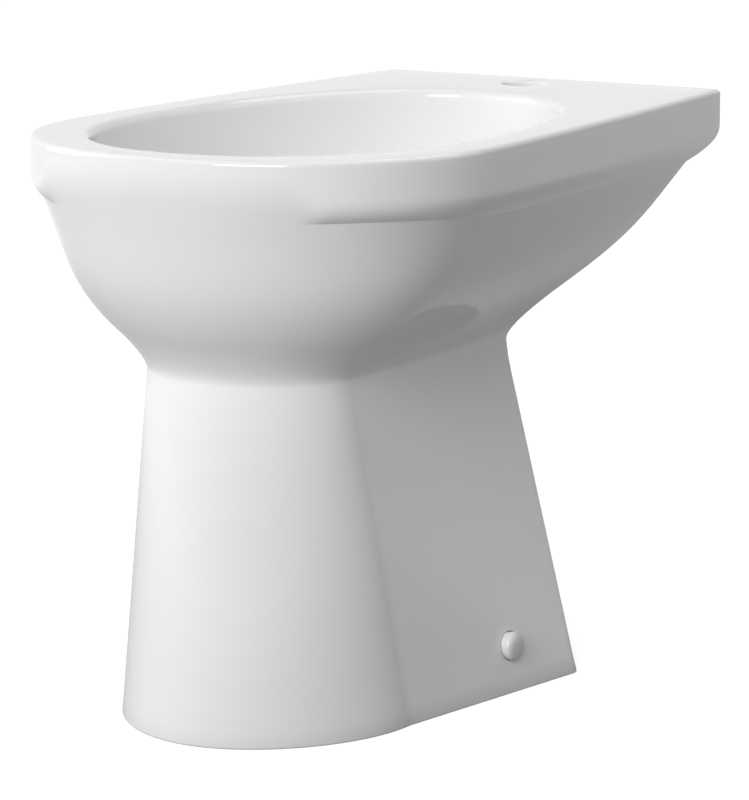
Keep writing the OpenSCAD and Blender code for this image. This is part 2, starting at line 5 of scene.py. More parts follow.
import bpy
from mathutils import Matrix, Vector


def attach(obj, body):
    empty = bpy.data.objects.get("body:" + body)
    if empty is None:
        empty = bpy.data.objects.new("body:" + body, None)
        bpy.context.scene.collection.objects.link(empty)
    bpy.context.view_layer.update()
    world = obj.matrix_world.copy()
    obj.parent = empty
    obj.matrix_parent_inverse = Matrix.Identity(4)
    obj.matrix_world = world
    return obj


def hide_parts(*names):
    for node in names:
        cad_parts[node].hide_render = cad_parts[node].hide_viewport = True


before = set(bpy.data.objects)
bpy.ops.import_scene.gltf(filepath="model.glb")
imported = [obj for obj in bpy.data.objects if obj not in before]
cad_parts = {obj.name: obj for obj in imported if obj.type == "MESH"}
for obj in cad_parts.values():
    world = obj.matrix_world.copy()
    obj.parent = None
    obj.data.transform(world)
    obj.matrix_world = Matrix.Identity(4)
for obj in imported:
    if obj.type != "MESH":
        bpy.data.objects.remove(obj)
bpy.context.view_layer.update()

# A millimetre. The sizes of the waste set, the side fixings and the profiles of turned pieces are in
# millimetres, and all others are in metres.
MM = 0.001

# Points closer than this are joined.
MERGE = 1e-6

# Sizes of the casting, as in the part's source
RIM_W = 0.335
FRONT_Y = -0.278
REAR_Y = 0.278
WIDEST_Y = -0.120
BODY_H = 0.400
DECK_W = 0.286
DECK_T = 0.014
RIM_FULLNESS = 2.1
RIM_CURVE = 1.5
RIM_EDGE_R = 0.0035
CORNER_R = 0.005
BAND_Z = 0.374
LIP_Z = 0.352
LIP_IN = 0.010
REAR_LIP_IN = 0.056
LIP_END_SLOPE = 0.75
GROOVE_START = 0.020
GROOVE_FADE = 0.200
NECK_Z = 0.250
NECK_W = 0.151
NECK_REAR_W = 0.170
NECK_FRONT_Y = -0.214
NECK_ROUND_END_Y = -0.153
NECK_REAR_Y = 0.047
NECK_BLEND = 0.009
FOOT_W = 0.212
FOOT_REAR_W = 0.274
FOOT_FRONT_Y = -0.240
FOOT_REAR_Y = 0.067
FOOT_FULLNESS = 1.9
FLARE_OUT = 0.006
FLARE_H = 0.030
WALL = 0.012
CEILING_Z = 0.244
FLANGE_SEAT_Z = 0.260
BASIN_W = 0.280
BASIN_FRONT = 0.178
BASIN_REAR = 0.253
BASIN_FLOOR_Z = 0.264
BASIN_FULLNESS = 2.15
BASIN_STEEPNESS = 3.5
BASIN_EDGE_R = 0.006
WASTE_Y = -0.075
WASTE_HOLE_D = 0.046
FLANGE_D = 0.063
TAP_Y = 0.234
TAP_HOLE_D = 0.035
BLEND_BOWL = 0.8
HEIGHT_HANDLES = (0.4, 0.57)
REAR_HANDLES = (0.29, 0.05)
WIDTH_HANDLES = (0.25, 0.65)

# Values that follow the photograph or a fired edge more closely than the source
FRONT_HANDLES = (0.24, 0.21)
REAR_RUN = 2.5
SOLE_R = 0.0015
CEILING_R = 0.008
LAST_BASIN_ANGLE = radians(86)

# The crease under the lip. It is lifted most at the front and level from LEVEL_CREASE_Y on.
CREASE_START_Y = -0.253
CREASE_START_L = 0.012
CREASE_LIFT = 0.007
LEVEL_CREASE_Y = -0.070
LIFT_FADE = 0.160

# The lip's rounding over the crease, and the long bend where the front has no crease
LIP_ROUND_H = 0.018
FRONT_ROUND_POWER = 3
SIDE_ROUND_POWER = 1.85
LIP_BEND = 0.014

# The rings from the bowl up to the crease: where the bowl's own rings end, how far up the others lie
# and how close the last one comes to the crease, where it is crisp and where it is soft
UNDER_LIP = 0.065
UNDER_LIP_SHARES = (0.4, 0.7, 1)
CRISP_SHARE = 0.97
SOFT_SHARE = 0.72
CRISP_END_Y = -0.200
CRISP_FADE = 0.160

# Points along one half of an outline: rounded front, side, rear corner, rear
FRONT_STEPS = 44
SIDE_STEPS = 44
CORNER_STEPS = 5
REAR_STEPS = 14

# Rings of the casting, from its sole up the outside and down to the hollow of the foot
SOLE_RINGS = 3
FOOT_RINGS = 20
BLEND_RINGS = 7
BOWL_RINGS = 32
LIP_RINGS = 24
BAND_RINGS = 4
EDGE_RINGS = 6
RIM_TOP_RINGS = 4
BASIN_RINGS = 30
CEILING_RINGS = 4
INSIDE_RINGS = 12


def mix(a, b, t):
    return a + (b - a) * t


def mixed(a, b, t):
    """Two lists of numbers, mixed one by one."""
    return [mix(x, y, t) for x, y in zip(a, b)]


def curve(a, b, c, d, t):
    u = 1 - t
    return a * u ** 3 + 3 * b * u * u * t + 3 * c * u * t * t + d * t ** 3


def share(handles, t):
    return curve(0, handles[0], handles[1], 1, t)


def ease(t):
    u = min(max(t, 0), 1)
    return u * u * (3 - 2 * u)


def steps(count, first=0):
    """count + 1 shares from 0 to 1, or fewer where the first ones are left out."""
    return [i / count for i in range(first, count + 1)]


def quarter(count, first=0):
    """A quarter of a circle as pairs: the first number grows from 0 to 1, the second falls to 0."""
    return [(1 - cos(pi / 2 * t), 1 - sin(pi / 2 * t)) for t in steps(count, first)]


# An outline is [width, front, fullness, widest place, rear width, rear, curve of the sides].
RIM = [RIM_W, FRONT_Y, RIM_FULLNESS, WIDEST_Y, DECK_W, REAR_Y, RIM_CURVE]
NECK = [NECK_W, NECK_FRONT_Y, FOOT_FULLNESS, NECK_ROUND_END_Y, NECK_REAR_W, NECK_REAR_Y, 1]
FOOT = [FOOT_W, FOOT_FRONT_Y, FOOT_FULLNESS, WIDEST_Y, FOOT_REAR_W, FOOT_REAR_Y, 1]
LIP = [RIM_W - 2 * LIP_IN, FRONT_Y + LIP_IN, RIM_FULLNESS, WIDEST_Y, DECK_W,
       REAR_Y - REAR_LIP_IN, RIM_CURVE]


def drawn_in(o, d):
    return [o[0] - 2 * d, o[1] + d, o[2], o[3], o[4] - 2 * d, o[5] - d, o[6]]


def front_point(o, t):
    """The rounded front as one curve whose handles give the outline's fullness."""
    handle = (8 * 0.5 ** (1 / o[2]) - 4) / 3
    x = curve(0, handle, 1, 1, t)
    back = curve(1, 1, handle, 0, t)
    return (o[0] / 2 * x, o[3] - (o[3] - o[1]) * back)


def half(o):
    """Half of an outline, from its front round the right side to the middle of its rear."""
    front = [front_point(o, t) for t in steps(FRONT_STEPS)]
    rear_end = o[5] - CORNER_R
    side = [(o[0] / 2 - (o[0] - o[4]) / 2 * s ** o[6], mix(o[3], rear_end, s))
            for s in steps(SIDE_STEPS, 1)]
    corner = [(o[4] / 2 - CORNER_R * (1 - cos(pi / 2 * t)), rear_end + CORNER_R * sin(pi / 2 * t))
              for t in steps(CORNER_STEPS, 1)]
    rear = [((o[4] / 2 - CORNER_R) * (1 - t), o[5]) for t in steps(REAR_STEPS, 1)]
    return front + side + corner + rear


def whole(points):
    return points + [(-p[0], *p[1:]) for p in points[-2:0:-1]]


def ring(o, z):
    return whole([(x, y, z) for x, y in half(o)])


def foot_at(t):
    """An outline of the foot, whose rear edge flares back below the neck."""
    outline = mixed(FOOT, NECK, t)
    outline[5] += FLARE_OUT * max(0, 1 - NECK_Z * (1 - t) / FLARE_H) ** 2
    return outline


def bowl_z(t):
    return mix(LIP_Z, NECK_Z, share(HEIGHT_HANDLES, t))


def bowl_at(t):
    s = share(FRONT_HANDLES, t)
    shares = [s, s, t, t, share(WIDTH_HANDLES, t), share(REAR_HANDLES, t), t]
    return [mix(a, b, k) for a, b, k in zip(LIP, NECK, shares)]


def bent(a, b, c, t):
    return mixed(mixed(a, b, t), mixed(b, c, t), t)


def groove_share(y):
    return ease((REAR_Y - GROOVE_START - y) / GROOVE_FADE)


def crease_share(y):
    """The front has no crease under its lip. It starts at once on either side."""
    return ease((y - CREASE_START_Y) / CREASE_START_L)


def crease_lift(y):
    """How far the crease stands above the side groove's own height."""
    return CREASE_LIFT * ease((LEVEL_CREASE_Y - y) / LIFT_FADE)


EDGE_POINTS = half(RIM)
LIP_POINTS = half(LIP)
UNDER_POINTS = half(bowl_at(UNDER_LIP))


def front_lip(u, edge, lip, under):
    """A point of the lip in front of the middle, from the band (0) to the crease (1).
    The bowl's own slope runs on up to the band. Without a crease one long bend joins the two."""
    edge, lip, under = Vector(edge), Vector(lip), Vector(under)
    depth = (lip - edge).length
    slope = (under - lip).length / (LIP_Z - bowl_z(UNDER_LIP))
    crease_z = LIP_Z + crease_lift(edge.y)
    crease_in = depth - slope * crease_lift(edge.y)
    corner_z = LIP_Z + depth / slope
    bend_top = corner_z + LIP_BEND
    bent_z = mix(bend_top, crease_z, u)
    if bent_z > corner_z - LIP_BEND:
        bent_in = slope * (bend_top - bent_z) ** 2 / (4 * LIP_BEND)
    else:
        bent_in = slope * (corner_z - bent_z)
    cut_z = crease_z + LIP_ROUND_H * (1 - u)
    cut_in = crease_in * u ** mix(SIDE_ROUND_POWER, FRONT_ROUND_POWER, crease_lift(edge.y) / CREASE_LIFT)
    drawn, z = mixed([bent_in, bent_z], [cut_in, cut_z], crease_share(edge.y))
    x, y = edge + (lip - edge).normalized() * drawn
    return (x, y, z)


def lip_ring(u):
    """The lip under the band. Behind the middle the groove fades into the slope under the deck."""
    rear = REAR_Y - REAR_LIP_IN * u ** REAR_RUN
    soft_in = LIP_IN * ((3 - LIP_END_SLOPE) * u * u - (2 - LIP_END_SLOPE) * u ** 3)
    cut_in = LIP_IN * u ** SIDE_ROUND_POWER
    soft_z = mix(BAND_Z, LIP_Z, u)
    cut_z = LIP_Z + LIP_ROUND_H * (1 - u)
    soft, cut = [half([RIM_W - 2 * d, FRONT_Y + d, RIM_FULLNESS, WIDEST_Y, DECK_W, rear, RIM_CURVE])
                 for d in (soft_in, cut_in)]
    points = []
    for edge, lip, under, a, b in zip(EDGE_POINTS, LIP_POINTS, UNDER_POINTS, soft, cut):
        if edge[1] < 0:
            points.append(front_lip(u, edge, lip, under))
        else:
            points.append(tuple(mixed([*a, soft_z], [*b, cut_z], groove_share(edge[1]))))
    return whole(points)


def under_lip_rings():
    """From the first of the bowl's own rings up to the crease, close to it only where it is crisp."""
    crease = lip_ring(1)
    under = ring(bowl_at(UNDER_LIP), bowl_z(UNDER_LIP))
    rings = [under]
    for t in UNDER_LIP_SHARES:
        row = []
        for a, b in zip(under, crease):
            last = mix(CRISP_SHARE, SOFT_SHARE, ease((b[1] - CRISP_END_Y) / CRISP_FADE))
            row.append(tuple(mixed(a, b, last * t)))
        rings.append(row)
    return rings


# The basin is egg-shaped, and its rings lie on the same rays as the rim's points.
RAYS = [atan2(x, WASTE_Y - y) for x, y in half(drawn_in(RIM, RIM_EDGE_R))]


def egg_radius(a, d):
    length = (BASIN_FRONT if abs(a) < pi / 2 else BASIN_REAR) - d
    across = abs(sin(a)) / (BASIN_W / 2 - d)
    along = abs(cos(a)) / length
    return (across ** BASIN_FULLNESS + along ** BASIN_FULLNESS) ** (-1 / BASIN_FULLNESS)


def egg_ring(d, scale, z):
    return whole([(scale * egg_radius(a, d) * sin(a), WASTE_Y - scale * egg_radius(a, d) * cos(a), z)
                  for a in RAYS])


def round_ring(r, z):
    return whole([(r * sin(a), WASTE_Y - r * cos(a), z) for a in RAYS])


def basin_z(a):
    return BODY_H - BASIN_EDGE_R - (BODY_H - BASIN_FLOOR_Z - BASIN_EDGE_R) * sin(a) ** (2 / BASIN_STEEPNESS)


def basin_share(a):
    return cos(a) ** (2 / BASIN_STEEPNESS)


def outer_foot_rings():
    """From the sole's rounded edge up to the blend under the neck."""
    rings = [ring(drawn_in(FOOT, SOLE_R * fall), SOLE_R * rise) for rise, fall in quarter(SOLE_RINGS)]
    for t in steps(FOOT_RINGS, 1):
        k = mix(SOLE_R / NECK_Z, 1 - NECK_BLEND / NECK_Z, t)
        rings.append(ring(foot_at(k), NECK_Z * k))
    return rings


def bowl_rings():
    """The blend at the neck and the bowl up to its last ring before the lip."""
    blend_foot = 1 - NECK_BLEND / NECK_Z
    low = foot_at(blend_foot) + [NECK_Z * blend_foot]
    high = bowl_at(BLEND_BOWL) + [bowl_z(BLEND_BOWL)]
    rings = []
    for t in steps(BLEND_RINGS, 1)[:-1]:
        *o, z = bent(low, foot_at(1) + [NECK_Z], high, t)
        rings.append(ring(o, z))
    for t in steps(BOWL_RINGS)[:-1]:
        k = mix(BLEND_BOWL, UNDER_LIP, t)
        rings.append(ring(bowl_at(k), bowl_z(k)))
    return rings


def rim_rings():
    """The upright band, its rounded edge and the flat rim up to the basin."""
    band_foot = lip_ring(0)
    band_top = ring(RIM, BODY_H - RIM_EDGE_R)
    rings = [[tuple(mixed(p, q, t)) for p, q in zip(band_foot, band_top)] for t in steps(BAND_RINGS)]
    rings += [ring(drawn_in(RIM, RIM_EDGE_R * rise), BODY_H - RIM_EDGE_R * fall)
              for rise, fall in quarter(EDGE_RINGS, 1)]
    basin_top = egg_ring(0, 1, BODY_H)
    inner_rim = rings[-1]
    for t in steps(RIM_TOP_RINGS, 1)[:-1]:
        rings.append([tuple(mixed(p, q, t)) for p, q in zip(inner_rim, basin_top)])
    return rings


def basin_rings():
    """The basin's rounded edge, its wall and its floor up to the opening."""
    rings = []
    for t in steps(EDGE_RINGS):
        a = pi / 2 * t
        rings.append(egg_ring(BASIN_EDGE_R * sin(a), 1, BODY_H - BASIN_EDGE_R * (1 - cos(a))))
    for t in steps(BASIN_RINGS, 1):
        a = LAST_BASIN_ANGLE * t
        rings.append(egg_ring(BASIN_EDGE_R, basin_share(a), basin_z(a)))
    return rings


def inner_foot_rings():
    """The hollow of the foot, from its ceiling down to the sole."""
    inside = drawn_in(foot_at(CEILING_Z / NECK_Z), WALL)
    rings = [ring(drawn_in(inside, CEILING_R * fall), CEILING_Z - CEILING_R * rise)
             for rise, fall in quarter(CEILING_RINGS)]
    for t in steps(INSIDE_RINGS, 1):
        k = mix((CEILING_Z - CEILING_R) / NECK_Z, SOLE_R / NECK_Z, t)
        rings.append(ring(drawn_in(foot_at(k), WALL), NECK_Z * k))
    rings += [ring(drawn_in(FOOT, WALL + SOLE_R * rise), SOLE_R * fall)
              for rise, fall in quarter(SOLE_RINGS, 1)]
    return rings


def casting_rings():
    """Rings from the foot's outer edge up the outside, over the rim, down the basin and back inside
    the foot, and how many of them lie on the glazed side."""
    core_r = WASTE_HOLE_D / 3
    rings = outer_foot_rings() + bowl_rings() + under_lip_rings()
    rings += [lip_ring(cos(pi / 2 * t)) for t in steps(LIP_RINGS)[:-1]]
    rings += rim_rings() + basin_rings()
    rings.append(round_ring(core_r, BASIN_FLOOR_Z))
    glazed = len(rings)
    rings.append(round_ring(core_r, CEILING_Z))
    return rings + inner_foot_rings(), glazed


# Making and cutting meshes
def deselect_all():
    bpy.ops.object.select_all(action="DESELECT")


def select_only(obj):
    deselect_all()
    obj.select_set(True)
    bpy.context.view_layer.objects.active = obj


def named(name):
    """The object that the last operator added, under its own name."""
    obj = bpy.context.object
    obj.name = name
    obj.data.name = name
    return obj


def closed_skin(name, rings, loops=True):
    """One grid, whose rows are laid on the rings and whose ends are joined.
    The last ring joins the first where loops is true, and otherwise both ends are filled."""
    deselect_all()
    columns = len(rings[0])
    rows = len(rings) + (1 if loops else 0)
    bpy.ops.mesh.primitive_grid_add(x_subdivisions=columns, y_subdivisions=rows - 1, size=1)
    obj = named(name)
    order = [rings[j % len(rings)][i % columns] for j in range(rows) for i in range(columns + 1)]
    obj.data.vertices.foreach_set("co", [c for p in order for c in p])
    obj.matrix_world.identity()
    bpy.ops.object.mode_set(mode="EDIT")
    bpy.ops.mesh.select_all(action="SELECT")
    bpy.ops.mesh.remove_doubles(threshold=MERGE)
    if not loops:
        bpy.ops.mesh.select_all(action="DESELECT")
        bpy.ops.mesh.select_non_manifold()
        bpy.ops.mesh.fill_holes(sides=0)
        bpy.ops.mesh.select_all(action="SELECT")
    bpy.ops.mesh.normals_make_consistent(inside=False)
    bpy.ops.object.mode_set(mode="OBJECT")
    return obj


def apply_modifier(obj, kind, **settings):
    select_only(obj)
    modifier = obj.modifiers.new(kind.lower(), kind)
    for key, value in settings.items():
        setattr(modifier, key, value)
    bpy.ops.object.modifier_apply(modifier=modifier.name)


def combine(obj, tool, operation="DIFFERENCE"):
    """Cuts the tool out of the piece, joins it on, or keeps what both share. The tool is then gone."""
    apply_modifier(obj, "BOOLEAN", operation=operation, solver="EXACT", object=tool)
    bpy.data.objects.remove(tool)
    return obj


def soften(obj, width, segments=2, angle=30):
    """Rounds every sharp edge. The width is in millimetres."""
    apply_modifier(obj, "BEVEL", width=width * MM, segments=segments, limit_method="ANGLE",
                   angle_limit=radians(angle))
    return obj


def smooth(obj, angle=35):
    select_only(obj)
    bpy.ops.object.shade_smooth_by_angle(angle=radians(angle))


def turn_outwards():
    """In edit mode: all normals of the closed mesh point out of it."""
    bpy.ops.mesh.select_all(action="SELECT")
    bpy.ops.mesh.normals_make_consistent(inside=False)


def along(axis, across, up):
    """A place at a distance across from an axis and up along it."""
    return {"Z": (across, 0, up), "X": (up, across, 0)}[axis]


def outline_mesh(name, points):
    """A circle whose points are laid on an outline, as one closed loop of edges."""
    deselect_all()
    bpy.ops.mesh.primitive_circle_add(vertices=len(points), radius=1, location=(0, 0, 0))
    obj = named(name)
    obj.data.vertices.foreach_set("co", [c for p in points for c in p])
    return obj


def turned(name, profile, centre, axis="Z", sides=96):
    """A turned piece: the loop of (radius, height) points, in millimetres, is spun round its axis."""
    points = [Vector(along(axis, r * MM, h * MM)) + Vector(centre) for r, h in profile]
    obj = outline_mesh(name, points)
    bpy.ops.object.mode_set(mode="EDIT")
    bpy.ops.mesh.select_all(action="SELECT")
    bpy.ops.mesh.spin(steps=sides, angle=2 * pi, use_auto_merge=True, center=centre, axis=along(axis, 0, 1))
    bpy.ops.mesh.select_all(action="SELECT")
    bpy.ops.mesh.remove_doubles(threshold=MERGE)
    bpy.ops.mesh.delete_loose()
    turn_outwards()
    bpy.ops.object.mode_set(mode="OBJECT")
    return obj


def pressed(name, points, depth):
    """A flat outline, extruded along the depth."""
    obj = outline_mesh(name, points)
    bpy.ops.object.mode_set(mode="EDIT")
    bpy.ops.mesh.select_all(action="SELECT")
    bpy.ops.mesh.edge_face_add()
    bpy.ops.mesh.extrude_region_move(TRANSFORM_OT_translate={"value": depth})
    turn_outwards()
    bpy.ops.object.mode_set(mode="OBJECT")
    return obj


def other_side(obj, name):
    """A copy for the left side, mirrored through the middle."""
    select_only(obj)
    bpy.ops.object.duplicate()
    copy = named(name)
    copy.scale.x = -1
    bpy.ops.object.transform_apply(location=False, rotation=False, scale=True)
    bpy.ops.object.mode_set(mode="EDIT")
    turn_outwards()
    bpy.ops.object.mode_set(mode="OBJECT")
    return copy


def rounded(corner, before, after, r):
    """Points of a rounded corner between two straight runs."""
    corner = Vector(corner)
    a = corner + (Vector(before) - corner).normalized() * r
    b = corner + (Vector(after) - corner).normalized() * r
    return [tuple(a * (1 - t) ** 2 + 2 * corner * t * (1 - t) + b * t * t) for t in steps(5)]


def soft_outline(corners):
    """A closed outline from its (place, radius) corners."""
    points = []
    for i, (place, r) in enumerate(corners):
        before = corners[i - 1][0]
        after = corners[(i + 1) % len(corners)][0]
        points += rounded(place, before, after, r) if r else [tuple(place)]
    return points


def soft_profile(corners):
    """The same for a turned piece: corners are (radius, height, rounding), in millimetres."""
    return [p[:2] for p in soft_outline([((r, h, 0), edge) for r, h, edge in corners])]


def dense(r, low, high, step):
    """Points along a straight run of a profile, close enough for a thread."""
    count = round(abs(high - low) / step)
    return [(r, mix(low, high, t)) for t in steps(count)]


def move_skin(obj, centre, axis, r, change):
    """Moves the points that lie at radius r: change(angle, height) says by how much, in millimetres."""
    tolerance = 0.01
    for vertex in obj.data.vertices:
        place = vertex.co - Vector(centre)
        u, v, h = {"Z": (place.x, place.y, place.z), "X": (place.y, place.z, place.x)}[axis]
        radius = sqrt(u * u + v * v) / MM
        if abs(radius - r) < tolerance:
            scale = 1 + change(atan2(v, u), h / MM) / radius
            u, v = u * scale, v * scale
            vertex.co = Vector(centre) + Vector({"Z": (u, v, h), "X": (h, u, v)}[axis])


def cut_thread(obj, centre, axis, r, low, high, pitch, depth):
    """Draws the skin in along a screw thread that fades out at both ends. Crests and roots are flat."""
    flank_slope = 1.4
    flat_share = 0.2

    def change(angle, height):
        fade = min(max(min(height - low, high - height) / pitch, 0), 1)
        across = abs(2 * ((height / pitch - angle / (2 * pi)) % 1) - 1)
        return -depth * fade * min(max(flank_slope * across - flat_share, 0), 1)

    move_skin(obj, centre, axis, r, change)


# Materials
class Value:
    """Wraps a socket, so that shader maths reads as an expression."""

    def __init__(self, material, socket):
        self.material = material
        self.socket = socket

    def _math(self, operation, *inputs):
        return self.material.node("ShaderNodeMath", {"operation": operation}, dict(enumerate(inputs)))[0]

    def __add__(self, other):
        return self._math("ADD", self, other)

    def __radd__(self, other):
        return self._math("ADD", other, self)

    def __sub__(self, other):
        return self._math("SUBTRACT", self, other)

    def __rsub__(self, other):
        return self._math("SUBTRACT", other, self)

    def __mul__(self, other):
        return self._math("MULTIPLY", self, other)

    def __rmul__(self, other):
        return self._math("MULTIPLY", other, self)

    def larger(self, other):
        return self._math("MAXIMUM", self, other)

    def ramp(self, low, high):
        """0 at low, 1 at high, eased between."""
        return self.material.node("ShaderNodeMapRange", {"interpolation_type": "SMOOTHSTEP"},
                                  {0: self, 1: low, 2: high})[0]


class NodeTree:
    """A tree whose nodes all come from one method."""

    def __init__(self, tree):
        self.nodes = tree.nodes
        self.links = tree.links

    def node(self, kind, settings=None, inputs=None):
        node = self.nodes.new(kind)
        for key, value in (settings or {}).items():
            if key == "stops":
                self._stops(node.color_ramp, value)
            else:
                setattr(node, key, value)
        self.fill(node, inputs or {})
        return [Value(self, socket) for socket in node.outputs]

    def _stops(self, ramp, stops):
        while len(ramp.elements) < len(stops):
            ramp.elements.new(1)
        for element, (position, colour) in zip(ramp.elements, stops):
            element.position = position
            element.color = (*colour, 1)

    def fill(self, node, inputs):
        for key, value in inputs.items():
            socket = node.inputs[key]
            if isinstance(value, Value):
                self.links.new(value.socket, socket)
            else:
                socket.default_value = value


class Material(NodeTree):
    """A material on one shader, whose patterns lie on Object coordinates."""

    def __init__(self, name):
        self.data = bpy.data.materials.new(name)
        self.data.use_nodes = True
        super().__init__(self.data.node_tree)
        self.shader = self.nodes["Principled BSDF"]
        self.place = self.node("ShaderNodeTexCoord")[3]

    def set(self, **inputs):
        """Sets or links sockets of the shader; underscores stand for spaces."""
        self.fill(self.shader, {key.replace("_", " "): value for key, value in inputs.items()})

    def noise(self, scale, detail=2, roughness=0.5, place=None):
        return self.node("ShaderNodeTexNoise", None, {
            "Vector": place or self.place, "Scale": scale, "Detail": detail, "Roughness": roughness})[0]

    def colour(self, factor, a, b):
        """A colour between two colours, each written as red, green and blue or taken from a node."""
        ends = [end if isinstance(end, Value) else (*end, 1) for end in (a, b)]
        return self.node("ShaderNodeMix", {"data_type": "RGBA"}, {0: factor, 6: ends[0], 7: ends[1]})[2]

    def stretched(self, x, y, z):
        """Object coordinates, scaled unevenly."""
        return self.node("ShaderNodeVectorMath", {"operation": "MULTIPLY"}, {0: self.place, 1: (x, y, z)})[0]

    def distance(self):
        """Distance from the origin."""
        return self.node("ShaderNodeVectorMath", {"operation": "LENGTH"}, {0: self.place})[1]

    def cells(self, scale):
        """A flat random value for each crystal-like cell."""
        colour = self.node("ShaderNodeTexVoronoi", None, {"Vector": self.place, "Scale": scale})[1]
        return self.node("ShaderNodeSeparateColor", None, {0: colour})[0]

    def bump(self, height, distance, strength=1):
        return self.node("ShaderNodeBump", None, {
            "Height": height, "Distance": distance, "Strength": strength})[0]


def glaze_material():
    """White sanitary glaze: glassy, with a faint wave from the firing and a slightly warmer cloud."""
    m = Material("white_glaze")
    cloud = m.noise(3.5, 3, 0.6)
    wave = m.noise(9, 2) + 0.06 * m.noise(160, 2)
    m.set(Base_Color=m.colour(cloud, (0.865, 0.87, 0.865), (0.89, 0.89, 0.884)),
          Specular_IOR_Level=0.35,
          Roughness=0.05 + 0.03 * m.noise(40, 2),
          Normal=m.bump(wave, 0.0005, 0.5))
    return m.data


def biscuit_material():
    """Fired clay without glaze: cream, dry, with fine grain, dark specks and smears of thin glaze."""
    m = Material("bare_ceramic")
    smear = m.noise(14, 4, 0.65).ramp(0.52, 0.66)
    speck = m.noise(900, 1).ramp(0.70, 0.76)
    clay = m.colour(m.noise(30, 5, 0.6), (0.66, 0.61, 0.53), (0.76, 0.72, 0.65))
    clay = m.colour(0.6 * speck, clay, (0.30, 0.24, 0.19))
    grain = 0.7 * m.noise(1400, 3) + 0.3 * m.noise(120, 4)
    m.set(Base_Color=m.colour(0.5 * smear, clay, (0.80, 0.79, 0.77)),
          Roughness=0.92 - 0.45 * smear,
          Normal=m.bump(grain, 0.0003, 0.6))
    return m.data


def polished_material(name, colour, rough, wear):
    """Plated or polished metal: fine wiping scratches and dull finger-wide patches."""
    m = Material(name)
    patch = m.noise(60, 3, 0.6).ramp(0.45, 0.7)
    scratch = m.noise(1, 2, 0.5, m.stretched(900, 900, 40))
    dark = [0.86 * c for c in colour]
    m.set(Base_Color=m.colour(patch, colour, dark),
          Metallic=1.0,
          Roughness=rough + wear * patch + 0.4 * wear * scratch,
          Normal=m.bump(scratch, 0.00004, 0.4))
    return m.data


def brass_material():
    """Cast and machined brass: turning marks, dull brown tarnish in patches."""
    m = Material("brass")
    tarnish = m.noise(70, 4, 0.65).ramp(0.48, 0.72)
    marks = m.noise(1, 2, 0.5, m.stretched(60, 60, 2600))
    m.set(Base_Color=m.colour(tarnish, (0.74, 0.56, 0.27), (0.42, 0.29, 0.14)),
          Metallic=1.0,
          Roughness=0.24 + 0.3 * tarnish + 0.1 * marks,
          Normal=m.bump(marks, 0.00006, 0.6))
    return m.data


def rubber_material():
    """Moulded black rubber with a grey bloom and a fine matt skin."""
    m = Material("seal_rubber")
    bloom = m.noise(90, 4, 0.6).ramp(0.45, 0.8)
    m.set(Base_Color=m.colour(0.5 * bloom, (0.022, 0.022, 0.024), (0.10, 0.10, 0.10)),
          Roughness=0.5 + 0.25 * bloom,
          Normal=m.bump(m.noise(1800, 2), 0.00008, 0.5))
    return m.data


def plastic_material(name, light, shade, rough, grain):
    """Moulded plastic: slightly uneven colour, flow marks and a fine moulded grain."""
    m = Material(name)
    flow = m.noise(1, 3, 0.6, m.stretched(25, 25, 110))
    m.set(Base_Color=m.colour(flow, shade, light),
          Roughness=rough + 0.08 * m.noise(240, 3),
          Normal=m.bump(m.noise(1500, 2), grain, 0.5))
    return m.data


def zinc_material(name, light, shade, spangle):
    """Zinc-coated steel: flat crystals of slightly different grey, with dull white bloom."""
    m = Material(name)
    crystal = m.cells(spangle)
    bloom = m.noise(45, 4, 0.7).ramp(0.55, 0.75)
    zinc = m.colour(crystal, shade, light)
    m.set(Base_Color=m.colour(0.35 * bloom, zinc, (0.62, 0.62, 0.61)),
          Metallic=1 - 0.35 * bloom,
          Roughness=0.3 + 0.14 * crystal + 0.2 * bloom,
          Normal=m.bump(m.noise(700, 3), 0.00006, 0.5))
    return m.data


GLAZE = glaze_material()
BISCUIT = biscuit_material()
CHROME = polished_material("chrome", (0.80, 0.81, 0.82), 0.05, 0.10)
STEM_STEEL = polished_material("stem_steel", (0.62, 0.62, 0.61), 0.18, 0.15)
SPRING_STEEL = polished_material("spring_steel", (0.50, 0.51, 0.53), 0.25, 0.15)
BRASS = brass_material()
RUBBER = rubber_material()
WASHER_PLASTIC = plastic_material("washer_plastic", (0.80, 0.80, 0.76), (0.72, 0.72, 0.67), 0.42, 0.00006)
CARTRIDGE_PLASTIC = plastic_material("cartridge_plastic", (0.60, 0.61, 0.62), (0.52, 0.53, 0.54), 0.38,
                                     0.00005)
CAP_PLASTIC = plastic_material("cap_plastic", (0.84, 0.845, 0.84), (0.81, 0.815, 0.81), 0.12, 0.00001)
SEAT_PLASTIC = plastic_material("seat_plastic", (0.78, 0.78, 0.76), (0.72, 0.72, 0.70), 0.45, 0.00006)
SCREW_STEEL = zinc_material("screw_steel", (0.72, 0.74, 0.76), (0.60, 0.62, 0.63), 300)
BRACKET_STEEL = zinc_material("bracket_steel", (0.62, 0.64, 0.65), (0.46, 0.48, 0.49), 110)


def dress(obj, node, body, material, angle=35):
    """Finish, body and CAD node of a new piece."""
    obj.data.materials.clear()
    obj.data.materials.append(material)
    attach(obj, body)
    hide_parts(node)
    smooth(obj, angle)


# The casting. Its two finishes are the slots of its mesh.
GLAZED = 0
BARE = 1


def finished(obj, finish=BARE, first=0):
    """Gives a mesh both slots, and its faces from the first one on the given finish."""
    obj.data.materials.append(GLAZE)
    obj.data.materials.append(BISCUIT)
    faces = range(len(obj.data.polygons))
    obj.data.polygons.foreach_set("material_index", [finish if i >= first else GLAZED for i in faces])
    return obj


